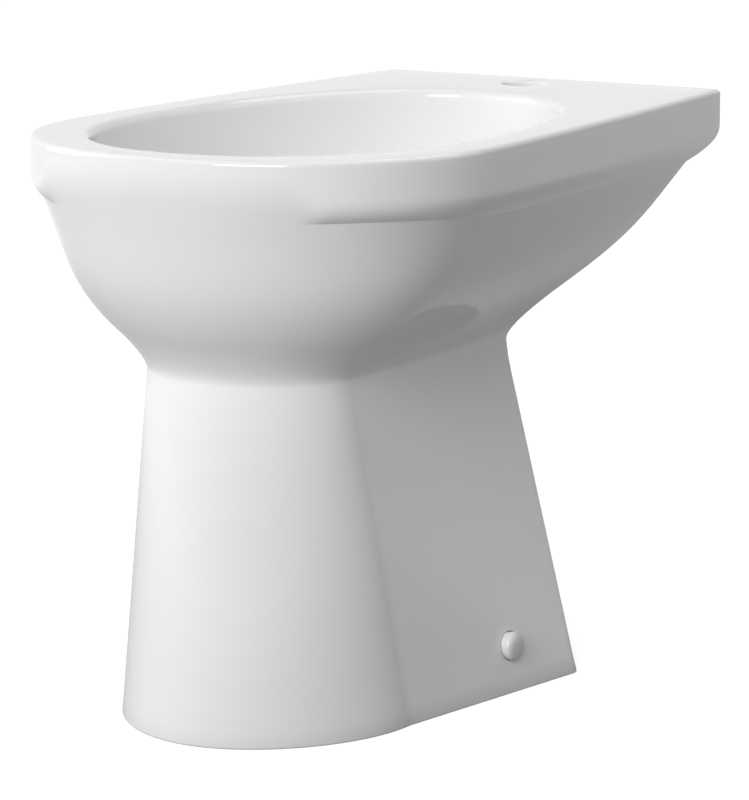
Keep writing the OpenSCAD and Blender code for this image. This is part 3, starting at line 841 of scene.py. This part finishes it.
def flare(r, low, high, edge=1.5, past=2):
    """Profile of a cutter through a plate from low to high, which rounds the edges of both faces."""
    arc = quarter(5)
    below = [(0, low - past), (r + edge, low - past)]
    foot = [(r + edge * u, low + edge * v) for u, v in arc[::-1]]
    top = [(r + edge * u, high - edge * v) for u, v in arc]
    above = [(r + edge, high + past), (0, high + past)]
    return below + foot + top + above


def basin_share_at(z):
    """How far out the basin's wall is at a height, as a share of its top outline."""
    depth = (BODY_H - BASIN_EDGE_R - z) / (BODY_H - BASIN_FLOOR_Z - BASIN_EDGE_R)
    return (1 - min(max(depth, 0), 1) ** BASIN_STEEPNESS) ** (1 / BASIN_STEEPNESS)


def bay_ring(half_w, rear, z, inset=0):
    """A level outline of the pocket under the deck. Its front follows the basin's rear wall."""
    behind_wall = 0.012
    corner_r = 0.014
    front = WASTE_Y + (BASIN_REAR - BASIN_EDGE_R) * basin_share_at(z) + behind_wall + inset
    w = half_w - inset
    return soft_outline([((w, rear, z), 0), ((-w, rear, z), 0), ((-w, front, z), corner_r),
                         ((w, front, z), corner_r)])


def bay_cutter():
    """The pocket under the deck, which is open to the rear below the band."""
    side_wall = 0.015
    floor_z = 0.273
    straight_side_z = (0.360, 0.366, BAND_Z)
    ceiling_z = BODY_H - DECK_T
    edge = 0.005
    inner_rear = REAR_Y - WALL
    open_rear = REAR_Y + 0.004
    top_w = DECK_W / 2 - side_wall
    sides = [(bowl_z(t), bowl_at(t)[4] / 2 - mix(side_wall, WALL, t)) for t in steps(40)]
    sides = [side for side in sides[::-1] if side[0] > floor_z + edge]
    low_w = sides[0][1]
    rings = [bay_ring(low_w, open_rear, floor_z + edge * rise, edge * fall) for rise, fall in quarter(4)]
    rings += [bay_ring(w, open_rear, z) for z, w in sides]
    rings += [bay_ring(top_w, open_rear, z) for z in straight_side_z]
    rings += [bay_ring(top_w, inner_rear + edge * fall, BAND_Z + edge * rise) for rise, fall in quarter(5)]
    rings += [bay_ring(top_w, inner_rear - edge * rise, ceiling_z - edge * fall, edge * rise)
              for rise, fall in quarter(4)]
    return finished(closed_skin("bay", rings, loops=False))


def back_cutter():
    """The foot's rear opening between two return flanges, with rounded edges on both faces."""
    return_w = 0.014
    low = FOOT_REAR_W / 2 - WALL - return_w
    high = NECK_REAR_W / 2 - WALL - return_w / 2
    top = CEILING_Z - 0.006
    edge = 0.003
    corner_r = 0.012
    below = -0.002

    def section(grow, depth):
        corners = [((low + grow, 0, below), 0), ((high + grow, 0, top + grow), corner_r + grow),
                   ((-high - grow, 0, top + grow), corner_r + grow), ((-low - grow, 0, below), 0)]
        return [(x, foot_at(z / NECK_Z)[5] + depth, z) for x, y, z in soft_outline(corners)]

    arc = [(edge * u, edge * v) for u, v in quarter(5)]
    rings = [section(edge, -2 * WALL)]
    rings += [section(grow, depth - WALL) for grow, depth in arc[::-1]]
    rings += [section(grow, -depth) for grow, depth in arc]
    rings.append(section(edge, WALL))
    return finished(closed_skin("back", rings, loops=False), finish=GLAZED)


# Side fixings, on an axis along X. FIX is in metres, the other values are in millimetres.
FIX = (0, -0.006, 0.033)
PAD_X = 98.1
PAD_END_X = 114.1
SPOT_X = 117.1
PAD_R = 17
PAD_EDGE_R = 2.5
SPOT_R = 10.6
SIDE_HOLE_R = 6


def side_pad():
    """The thickened place inside the foot round a side hole."""
    corners = [(0, PAD_X, 0), (PAD_R, PAD_X, PAD_EDGE_R), (PAD_R, PAD_END_X, 0), (0, PAD_END_X, 0)]
    return finished(turned("pad", soft_profile(corners), FIX, "X"))


def side_hole_cutter():
    """The hole through the pad and the flat that is ground round it outside."""
    chamfer = 0.8
    start = PAD_X - 2
    end = SPOT_X + 20
    profile = [(0, start), (SIDE_HOLE_R + chamfer, start), (SIDE_HOLE_R + chamfer, PAD_X),
               (SIDE_HOLE_R, PAD_X + chamfer), (SIDE_HOLE_R, SPOT_X), (SPOT_R, SPOT_X),
               (SPOT_R, end), (0, end)]
    return finished(turned("side_hole", profile, FIX, "X"))


def tap_hole_cutter():
    """The hole through the deck, with rounded edges above and below."""
    profile = flare(TAP_HOLE_D / MM / 2, (BODY_H - DECK_T) / MM, BODY_H / MM)
    return finished(turned("tap_hole", profile, (0, TAP_Y, 0)), GLAZED)


def waste_hole_cutter():
    """The hole for the waste and the recess that its flange sits in."""
    place_gap = 0.3
    reach = 20
    recess_r = FLANGE_D / MM / 2 + place_gap
    hole_r = WASTE_HOLE_D / MM / 2
    seat = FLANGE_SEAT_Z / MM
    profile = [(0, seat - reach), (hole_r, seat - reach), (hole_r, seat), (recess_r, seat),
               (recess_r, seat + reach), (0, seat + reach)]
    return finished(turned("waste_hole", profile, (0, WASTE_Y, 0)), GLAZED)


def casting():
    """One slip-cast body: the skin, its pads and holes, the pocket under the deck and the open back."""
    rings, glazed = casting_rings()
    body = finished(closed_skin("casting", rings), first=glazed * len(rings[0]))
    for tool, operation in ((side_pad, "UNION"), (side_hole_cutter, "DIFFERENCE")):
        right = tool()
        left = other_side(right, "left_tool")
        combine(body, right, operation)
        combine(body, left, operation)
    for cutter in (bay_cutter, back_cutter, tap_hole_cutter, waste_hole_cutter):
        combine(body, cutter())
    return body


body = casting()
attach(body, "bidet")
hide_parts("ceramic_body")
smooth(body)


# Waste set, turned round the axis of the basin's outlet. All but WASTE is in millimetres, and heights
# are above the floor. A corner of a turned piece is (radius, height, rounding).
WASTE = (0, WASTE_Y, 0)
OUTLET_Z = 184
GROOVE_Z = 204.6
SHANK_Z = 206
SPIDER_Z = 219.3
SPIDER_TOP = 225.3
NUT_Z = 224.5
WASHER_Z = 234.5
CONE_Z = 236
CONE_TOP = 244
SEAL_Z = 260
FLANGE_Z = 261.5
FLANGE_TOP = 264
SHANK_R = 20.95
SHANK_PITCH = 2.309
WASHER_BORE_R = 21.1
BARREL_R = 7
BARREL_TOP = 250.2
COLLAR_TOP = 253.2
STEM_R = 3
PLUG_R = 20.7
PLUG_Z = 257.5
PLUG_SEAL_Z = 259.5
PLUG_EDGE_Z = 262
PLUG_TOP = 264


def waste_body():
    """Flange with a conical seat, threaded shank, relief groove, outlet thread and inner spider."""
    step = SHANK_PITCH / 7
    run_out = 0.6
    thread_depth = 1.1
    bore_r, mouth_r, flange_r, groove_r, outlet_r = 18, 21.5, 31.5, 20.15, 20.5
    cone_low, cone_high = 258, 262
    thread_end = 258
    outlet_low = OUTLET_Z + run_out
    profile = soft_profile([(bore_r, OUTLET_Z, 0.5), (bore_r, cone_low, 0.4), (mouth_r, cone_high, 0.3),
                            (mouth_r, FLANGE_TOP, 0.8), (flange_r, FLANGE_TOP, 1.1),
                            (flange_r, FLANGE_Z, 0.4), (SHANK_R, FLANGE_Z, 0.3)])
    profile += dense(SHANK_R, SEAL_Z, SHANK_Z, step)
    profile += [(groove_r, SHANK_Z - run_out), (groove_r, GROOVE_Z + run_out)]
    profile += dense(SHANK_R, GROOVE_Z, outlet_low, step) + [(outlet_r, OUTLET_Z)]
    shank = turned("waste_shank", profile, WASTE)
    cut_thread(shank, WASTE, "Z", SHANK_R, SHANK_Z, thread_end, SHANK_PITCH, thread_depth)
    cut_thread(shank, WASTE, "Z", SHANK_R, outlet_low, GROOVE_Z, SHANK_PITCH, thread_depth)
    hub = spider_hub()
    for i in range(3):
        combine(hub, spider_arm(2 * pi / 3 * i), "UNION")
    return combine(shank, hub, "UNION")


def spider_hub():
    """The ring in the middle of the spider that the cartridge screws in."""
    inner, outer = 4, 9
    corners = [(inner, SPIDER_Z, 0.4), (outer, SPIDER_Z, 0.8), (outer, SPIDER_TOP, 0.8),
               (inner, SPIDER_TOP, 0.4)]
    return turned("hub", soft_profile(corners), WASTE)


def spider_arm(a):
    """One arm from the hub to the bore, thinner at its lower edge."""
    start = 6.5
    reach = 12.9 * MM
    half_w, half_edge = 1.5, 0.9
    shoulder_z = 221
    points = []
    for across, up in ((-half_edge, SPIDER_Z), (half_edge, SPIDER_Z), (half_w, shoulder_z),
                       (half_w, SPIDER_TOP), (-half_w, SPIDER_TOP), (-half_w, shoulder_z)):
        x = start * cos(a) - across * sin(a)
        y = start * sin(a) + across * cos(a)
        points.append((x * MM, WASTE_Y + y * MM, up * MM))
    return pressed("arm", points, (reach * cos(a), reach * sin(a), 0))


def lock_nut():
    """Hexagon back nut with chamfered corners and a countersunk bore."""
    half_flats = 26
    flat_r = 26.4
    chamfer = 2.3
    bore_r, mouth_r = 21.1, 22.3
    sink = 1.2
    low, high = NUT_Z, WASHER_Z
    corner_r = half_flats / cos(pi / 6)
    outer_r = corner_r + 0.5
    points = [(corner_r * cos(pi / 3 * i) * MM, WASTE_Y + corner_r * sin(pi / 3 * i) * MM, low * MM)
              for i in range(6)]
    nut = pressed("lock_nut_piece", points, (0, 0, (high - low) * MM))
    blank = [(0, low), (flat_r, low), (outer_r, low + chamfer), (outer_r, high - chamfer), (flat_r, high),
             (0, high)]
    combine(nut, turned("blank", blank, WASTE), "INTERSECT")
    bore = [(0, low - 1), (mouth_r, low - 1), (mouth_r, low), (bore_r, low + sink), (bore_r, high - sink),
            (mouth_r, high), (mouth_r, high + 1), (0, high + 1)]
    combine(nut, turned("bore", bore, WASTE))
    return soften(nut, 0.25)


def dome(r, edge_z, height):
    """Points of a shallow dome from its edge to its top."""
    sphere_r = (r * r + height * height) / (2 * height)
    return [(x, edge_z + height - sphere_r + sqrt(sphere_r ** 2 - x * x))
            for x in (r * (1 - t) for t in steps(14))]


def plug_cap():
    """Domed plug with a rounded edge, a rim that holds the seal and a boss that takes the stem."""
    boss_r = 6
    boss_z = 253.5
    rim_r = 12
    dome_h = 4
    edge_r, edge_z = 19.9, 264.32
    dome_r = 19.6
    under = soft_profile([(0, PLUG_Z, 0), (STEM_R, PLUG_Z, 0), (STEM_R, boss_z, 0.3), (boss_r, boss_z, 0.5),
                          (boss_r, PLUG_SEAL_Z, 0.3), (rim_r, PLUG_SEAL_Z, 0.3), (rim_r, PLUG_EDGE_Z, 0),
                          (PLUG_R, PLUG_EDGE_Z, 0.4), (PLUG_R, PLUG_TOP, 0.7), (edge_r, edge_z, 0.3)])
    over = [place for place in dome(PLUG_R, PLUG_TOP, dome_h) if place[0] < dome_r]
    return turned("plug_dome", under + over, WASTE)


def flange_gasket():
    """Flat ring between the flange and the basin's floor."""
    outer = 30
    return [(WASHER_BORE_R, SEAL_Z, 0.3), (outer, SEAL_Z, 0.5), (outer, FLANGE_Z, 0.5),
            (WASHER_BORE_R, FLANGE_Z, 0.3)]


def cone_gasket():
    """Tapered ring that the nut draws up against the ceiling, with a moulded rib on top."""
    bore_r = 21.25
    return [(bore_r, CONE_Z, 0.5), (26, CONE_Z, 0.5), (27.7, 237.7, 0.4), (28, 238.6, 0.4), (31, 240.8, 0.8),
            (31, CONE_TOP, 0.6), (29, CONE_TOP, 0.2), (28.6, 243.7, 0.2), (28.2, CONE_TOP, 0.2),
            (bore_r, CONE_TOP, 0.5)]


def friction_washer():
    """Thin washer that lets the nut turn under the tapered ring."""
    outer = 26
    return [(WASHER_BORE_R, WASHER_Z, 0.3), (outer, WASHER_Z, 0.4), (outer, CONE_Z, 0.4),
            (WASHER_BORE_R, CONE_Z, 0.3)]


def guide_barrel():
    """Barrel with a screwed foot, a groove round it and a bore for the spring."""
    foot_r, bore_r, groove_r = 3.9, 5.2, 6.6
    low, shoulder, floor = 219.35, 225.35, 227.35
    return [(0, low, 0), (foot_r, low, 0.5), (foot_r, shoulder, 0.1), (BARREL_R, shoulder, 0.5),
            (BARREL_R, 230, 0.2), (groove_r, 230.4, 0.2), (groove_r, 231.4, 0.2), (BARREL_R, 231.8, 0.2),
            (BARREL_R, BARREL_TOP, 0.3), (bore_r, BARREL_TOP, 0.2), (bore_r, floor, 0.2), (0, floor, 0)]


def guide_collar():
    """Ring that closes the barrel and guides the stem."""
    bore_r = 3.1
    return [(bore_r, BARREL_TOP, 0.2), (BARREL_R, BARREL_TOP, 0.3), (BARREL_R, COLLAR_TOP, 0.6),
            (bore_r, COLLAR_TOP, 0.3)]


def plunger_stem():
    """Stem with the head that the spring presses on."""
    head_r = 5.1
    head_low, head_high = 237.9, 240.9
    return [(0, head_low, 0), (head_r, head_low, 0.4), (head_r, head_high, 0.4), (STEM_R, head_high, 0.4),
            (STEM_R, PLUG_Z, 0.3), (0, PLUG_Z, 0)]


def plug_gasket():
    """Ring under the plug's edge, with a lip that meets the conical seat."""
    inner = 12
    return [(inner, PLUG_SEAL_Z, 0.2), (18.9, PLUG_SEAL_Z, 0.5), (19.5, 260.4, 0.2), (19.3, 260.7, 0.2),
            (20.3, PLUG_EDGE_Z, 0.3), (inner, PLUG_EDGE_Z, 0.2)]


dress(waste_body(), "waste_body", "bidet", CHROME)
dress(lock_nut(), "lock_nut", "bidet", BRASS, angle=25)
dress(plug_cap(), "plug_cap", "plug", CHROME)
for name, corners, node, rides, slot, finish in (
        ("flange_gasket", flange_gasket(), "flange_seal", "bidet", "seal_rubber", RUBBER),
        ("cone_gasket", cone_gasket(), "cone_seal", "bidet", "seal_rubber", RUBBER),
        ("friction_washer", friction_washer(), "slip_washer", "bidet", "washer_plastic", WASHER_PLASTIC),
        ("guide_barrel", guide_barrel(), "cartridge_barrel", "bidet", "cartridge_plastic", CARTRIDGE_PLASTIC),
        ("guide_collar", guide_collar(), "cartridge_collar", "bidet", "cartridge_plastic", CARTRIDGE_PLASTIC),
        ("plunger_stem", plunger_stem(), "plug_stem", "plug", "stem_steel", STEM_STEEL),
        ("plug_gasket", plug_gasket(), "plug_seal", "plug", "seal_rubber", RUBBER)):
    dress(turned(name, soft_profile(corners), WASTE, sides=72), node, rides, finish)

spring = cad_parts["cartridge_spring"]
for slot in spring.material_slots:
    slot.material = SPRING_STEEL


# Side fixing set, made for the right side and copied to the left. Places along X are in millimetres.
SLEEVE_T = 1.5
HEAD_X = SPOT_X + 2.5
HEAD_H = 4
SCREW_R = 3
SCREW_BORE_R = 3.15
PLATE_T = 5
PLATE_X = PAD_X - PLATE_T
NUT_T = 5
NUT_X = PLATE_X - NUT_T
NUT_HALF = 5
BRACKET_END_X = PAD_X - 40


def cover_cap():
    """A soft button on a short skirt, hollow behind."""
    low = SPOT_X + 0.3
    hollow_edge = low + 5.2
    hollow_top = low + 6.8
    top = low + 9
    fullness = 2.6
    outer_r, skirt_r, hollow_r = 10, 8.6, 6.1
    side_h, dome_h = 4.6, 4.4
    outside = []
    for t in steps(16):
        r = outer_r * cos(pi / 2 * t) ** (2 / fullness)
        outside.append((r, low + side_h + dome_h * sin(pi / 2 * t) ** (2 / fullness)))
    skirt = soft_profile([(0, hollow_top, 0), (hollow_r, hollow_top, 0.5), (skirt_r, hollow_edge, 1.2),
                          (skirt_r, low, 0.2), (outer_r, low, 0.4)])
    return turned("cap_button", skirt + outside[:-1] + [(0, top)], FIX, "X")


def cap_seat():
    """A sleeve through the side hole, with a flange that the cap clips on."""
    sleeve_r = 5.9
    flange_r = 8.5
    end = SPOT_X + SLEEVE_T
    corners = [(SCREW_BORE_R, PAD_X, 0.2), (sleeve_r, PAD_X, 0.4), (sleeve_r, SPOT_X, 0.1),
               (flange_r, SPOT_X, 0.3), (flange_r, end, 0.4), (SCREW_BORE_R, end, 0.2)]
    return turned("cap_sleeve", soft_profile(corners), FIX, "X", sides=64)


def screw_washer():
    outer_r = 6
    low = HEAD_X - 1
    corners = [(SCREW_BORE_R, low, 0.1), (outer_r, low, 0.3), (outer_r, HEAD_X, 0.2),
               (SCREW_BORE_R, HEAD_X, 0.1)]
    return turned("washer", soft_profile(corners), FIX, "X", sides=48)


def screw_head():
    """Hexagon head with turned-off corners."""
    half_flats = 5
    flat_r = 4.8
    chamfer_start = HEAD_X + 3.3
    top = HEAD_X + HEAD_H
    corner_r = half_flats / cos(pi / 6)
    outer_r = corner_r + 0.2
    angles = [pi / 3 * i for i in range(6)]
    points = [(HEAD_X * MM, FIX[1] + corner_r * sin(a) * MM, FIX[2] + corner_r * cos(a) * MM) for a in angles]
    head = pressed("screw", points, (HEAD_H * MM, 0, 0))
    blank = [(0, HEAD_X), (outer_r, HEAD_X), (outer_r, chamfer_start), (flat_r, top), (0, top)]
    return combine(head, turned("blank", blank, FIX, "X", sides=48), "INTERSECT")


def side_screw():
    """Hexagon-head screw with a rolled thread, whose shank starts inside the head."""
    end = 86.1
    point_r = 2.4
    pitch = 1.0
    thread_depth = 0.5
    thread_end = 111
    root = HEAD_X + 0.5
    head = screw_head()
    profile = [(0, end), (point_r, end)] + dense(SCREW_R, end + 0.6, thread_end + 1, pitch / 6)
    profile += [(SCREW_R, root), (0, root)]
    shank = turned("screw_shank", profile, FIX, "X", sides=32)
    cut_thread(shank, FIX, "X", SCREW_R, end + 0.5, thread_end, pitch, thread_depth)
    return combine(head, shank, "UNION")


def square(half_side, x):
    """The corners of a square round the fixing's axis."""
    return [(x * MM, FIX[1] + u * half_side * MM, FIX[2] + v * half_side * MM)
            for u, v in ((-1, -1), (1, -1), (1, 1), (-1, 1))]


def bracket_nut():
    """Square nut with turned-off corners on the side that faces the screw's end."""
    end = NUT_X + NUT_T
    bore_r, mouth_r = 3.1, 3.6
    flat_r, outer_r = 5.3, 7.3
    nut = pressed("square_nut", square(NUT_HALF, NUT_X), (NUT_T * MM, 0, 0))
    blank = [(0, NUT_X), (flat_r, NUT_X), (outer_r, NUT_X + 1.2), (outer_r, end), (0, end)]
    combine(nut, turned("blank", blank, FIX, "X", sides=64), "INTERSECT")
    bore = [(0, NUT_X - 1), (mouth_r, NUT_X - 1), (mouth_r, NUT_X), (bore_r, NUT_X + 0.5),
            (bore_r, end - 0.5), (mouth_r, end), (mouth_r, end + 1), (0, end + 1)]
    combine(nut, turned("bore", bore, FIX, "X", sides=48))
    return soften(nut, 0.15)


def bracket_angle(front, length):
    """The bent plate, with a foot on the floor and a leg against the pad."""
    height = 0.052
    outer = BRACKET_END_X * MM
    inner = PLATE_X * MM
    face = PAD_X * MM
    plate = PLATE_T * MM
    corners = [((outer, front, 0), 0.0006), ((face, front, 0), 0.007), ((face, front, height), 0.0012),
               ((inner, front, height), 0.0012), ((inner, front, plate), 0.003),
               ((outer, front, plate), 0.0012)]
    return pressed("bracket", soft_outline(corners), (0, length, 0))


def bracket_gusset(y, width):
    """A web across the bend, which runs a little into both legs."""
    outer, outer_top = (BRACKET_END_X + 4) * MM, (BRACKET_END_X + 5) * MM
    inner, inner_top = (PLATE_X + 1) * MM, (PLATE_X - 1) * MM
    foot_z = 0.004
    corners = [((outer, y, foot_z), 0), ((inner, y, foot_z), 0), ((inner, y, 0.048), 0),
               ((inner_top, y, 0.047), 0.001), ((outer_top, y, 0.0055), 0.001)]
    return pressed("gusset", soft_outline(corners), (0, width, 0))


def floor_bracket():
    """Angle with a gusset at each end, a pocket that holds the nut, and its holes."""
    front = FIX[1] - 0.022
    length = 0.044
    gusset_w = 0.003
    nut_gap = 0.1
    pocket_half, pocket_t, pocket_r = 8, 5.5, 0.002
    screw_hole_r, floor_hole_r = 3.3, 4
    floor_hole = ((PAD_X - 25) * MM, FIX[1], 0)
    angle = bracket_angle(front, length)
    for y in (front, front + length - gusset_w):
        combine(angle, bracket_gusset(y, gusset_w), "UNION")
    pocket = soft_outline([(place, pocket_r) for place in square(pocket_half, NUT_X)])
    combine(angle, pressed("pocket", pocket, (pocket_t * MM, 0, 0)), "UNION")
    combine(angle, pressed("recess", square(NUT_HALF + nut_gap, NUT_X - 1), ((NUT_T + 1) * MM, 0, 0)))
    combine(angle, turned("plate_hole", flare(screw_hole_r, PLATE_X, PAD_X, 0.5), FIX, "X", sides=48))
    combine(angle, turned("floor_hole", flare(floor_hole_r, 0, PLATE_T, 0.6), floor_hole, sides=48))
    return soften(angle, 0.5)


def fit_both_sides(right, nodes, material, angle=35, bodies=("bidet", "bidet")):
    """Dresses a right-hand piece and its mirrored copy."""
    stem = right.name
    left = other_side(right, stem + "_left")
    right.name = stem + "_right"
    for piece, node, rides in zip((right, left), nodes, bodies):
        dress(piece, node, rides, material, angle)


fit_both_sides(cover_cap(), ("cover_cap_right", "cover_cap_left"), CAP_PLASTIC,
               bodies=("cap_right", "cap_left"))
fit_both_sides(cap_seat(), ("cap_seat_right", "cap_seat_left"), SEAT_PLASTIC)
fit_both_sides(screw_washer(), ("screw_washers", "screw_washers"), SCREW_STEEL)
fit_both_sides(side_screw(), ("side_screws", "side_screws"), SCREW_STEEL, angle=25)
fit_both_sides(bracket_nut(), ("bracket_nuts", "bracket_nuts"), SCREW_STEEL, angle=25)
fit_both_sides(floor_bracket(), ("floor_bracket_right", "floor_bracket_left"), BRACKET_STEEL,
               angle=30)


# Stage: plain soft studio light, and white where the camera or a reflection sees the background
LIT_PLACE = (0, -0.05, 0.22)
WHITE = (1, 1, 1)
BLACK = (0, 0, 0)


def area_light(name, place, side, power):
    """A square soft lamp that faces the object."""
    data = bpy.data.lights.new(name, "AREA")
    data.shape = "SQUARE"
    data.size = side
    data.energy = power
    obj = bpy.data.objects.new(name, data)
    bpy.context.scene.collection.objects.link(obj)
    obj.location = place
    obj.rotation_euler = (Vector(LIT_PLACE) - Vector(place)).to_track_quat("-Z", "Y").to_euler()


def seen_rays(tree):
    """1 for camera, glossy and transmission rays, and 0 for the rays that light the object."""
    rays = tree.node("ShaderNodeLightPath")
    camera, glossy, transmission = rays[0], rays[3], rays[6]
    return camera.larger(glossy).larger(transmission)


def studio_floor():
    """A pale floor that shows white and keeps the object's shadow. Close to the object its glow is a little
    darker, so that the lit floor still shows the shadow, and in a reflection much darker: painted shade that
    stands for the object's shadow where the glaze mirrors the floor."""
    near_seen = (0.86, 0.86, 0.86)
    # Near the object a reflection sees a darker glow: painted shade for the object's shadow on the mirrored
    # floor.
    mirrored_painted_shade = (0.34, 0.34, 0.34)
    near_end, white_start = 0.4, 1.8
    deselect_all()
    bpy.ops.mesh.primitive_plane_add(size=22)
    floor = named("floor")
    m = Material("floor_white")
    is_camera_ray = m.node("ShaderNodeLightPath")[0]
    # Painted shade: glossy rays see the floor's glow near the object darker than the camera does.
    near = m.colour(is_camera_ray, mirrored_painted_shade, near_seen)
    glow = m.colour(m.distance().ramp(near_end, white_start), near, WHITE)
    m.set(Base_Color=(0.25, 0.25, 0.25, 1),
          Emission_Color=m.colour(seen_rays(m), BLACK, glow),
          Emission_Strength=1,
          Roughness=0.9)
    floor.data.materials.append(m.data)


def studio_world():
    """White for the camera and for reflections. It gives the object no light, so the lamps alone do."""
    world = bpy.data.worlds.new("studio")
    bpy.context.scene.world = world
    world.use_nodes = True
    tree = NodeTree(world.node_tree)
    seen, light = [tree.node("ShaderNodeBackground", None, {"Color": (*WHITE, 1), "Strength": strength})[0]
                   for strength in (1, 0)]
    mixing = tree.node("ShaderNodeMixShader", None, {0: seen_rays(tree), 1: light, 2: seen})[0]
    tree.links.new(mixing.socket, tree.nodes["World Output"].inputs["Surface"])


studio_floor()
studio_world()
area_light("front", (0.5, -2.7, 1.6), 1.6, 67)
area_light("front_left", (-1.6, -2.0, 1.3), 1.6, 9)
area_light("left", (-2.4, -0.6, 0.9), 1.6, 27)
area_light("right_rear", (2.2, 1.2, 1.3), 1.6, 9)
area_light("top_rear", (0.2, 0.9, 2.2), 1.4, 17)

# Camera, solved from the photograph's perspective. FOCAL and CENTRE are in pixels of the photograph.
IMAGE_W = 749
IMAGE_H = 800
FOCAL = 3942.9
CENTRE = (367.1, 367.9)
SENSOR = 36
AZIMUTH = 0.533
GROUND_DISTANCE = 2.7546
CAMERA_H = 0.7175
PITCH = 0.179

camera_data = bpy.data.cameras.new("camera")
camera_data.sensor_fit = "HORIZONTAL"
camera_data.sensor_width = SENSOR
camera_data.lens = FOCAL * SENSOR / IMAGE_W
camera_data.shift_x = (IMAGE_W / 2 - CENTRE[0]) / IMAGE_W
camera_data.shift_y = (CENTRE[1] - IMAGE_H / 2) / IMAGE_W
camera = bpy.data.objects.new("camera", camera_data)
bpy.context.scene.collection.objects.link(camera)
camera.location = (GROUND_DISTANCE * sin(AZIMUTH), -GROUND_DISTANCE * cos(AZIMUTH), CAMERA_H)
camera.rotation_euler = (pi / 2 - PITCH, 0, AZIMUTH)
bpy.context.scene.camera = camera
bpy.context.scene.view_settings.view_transform = "Standard"
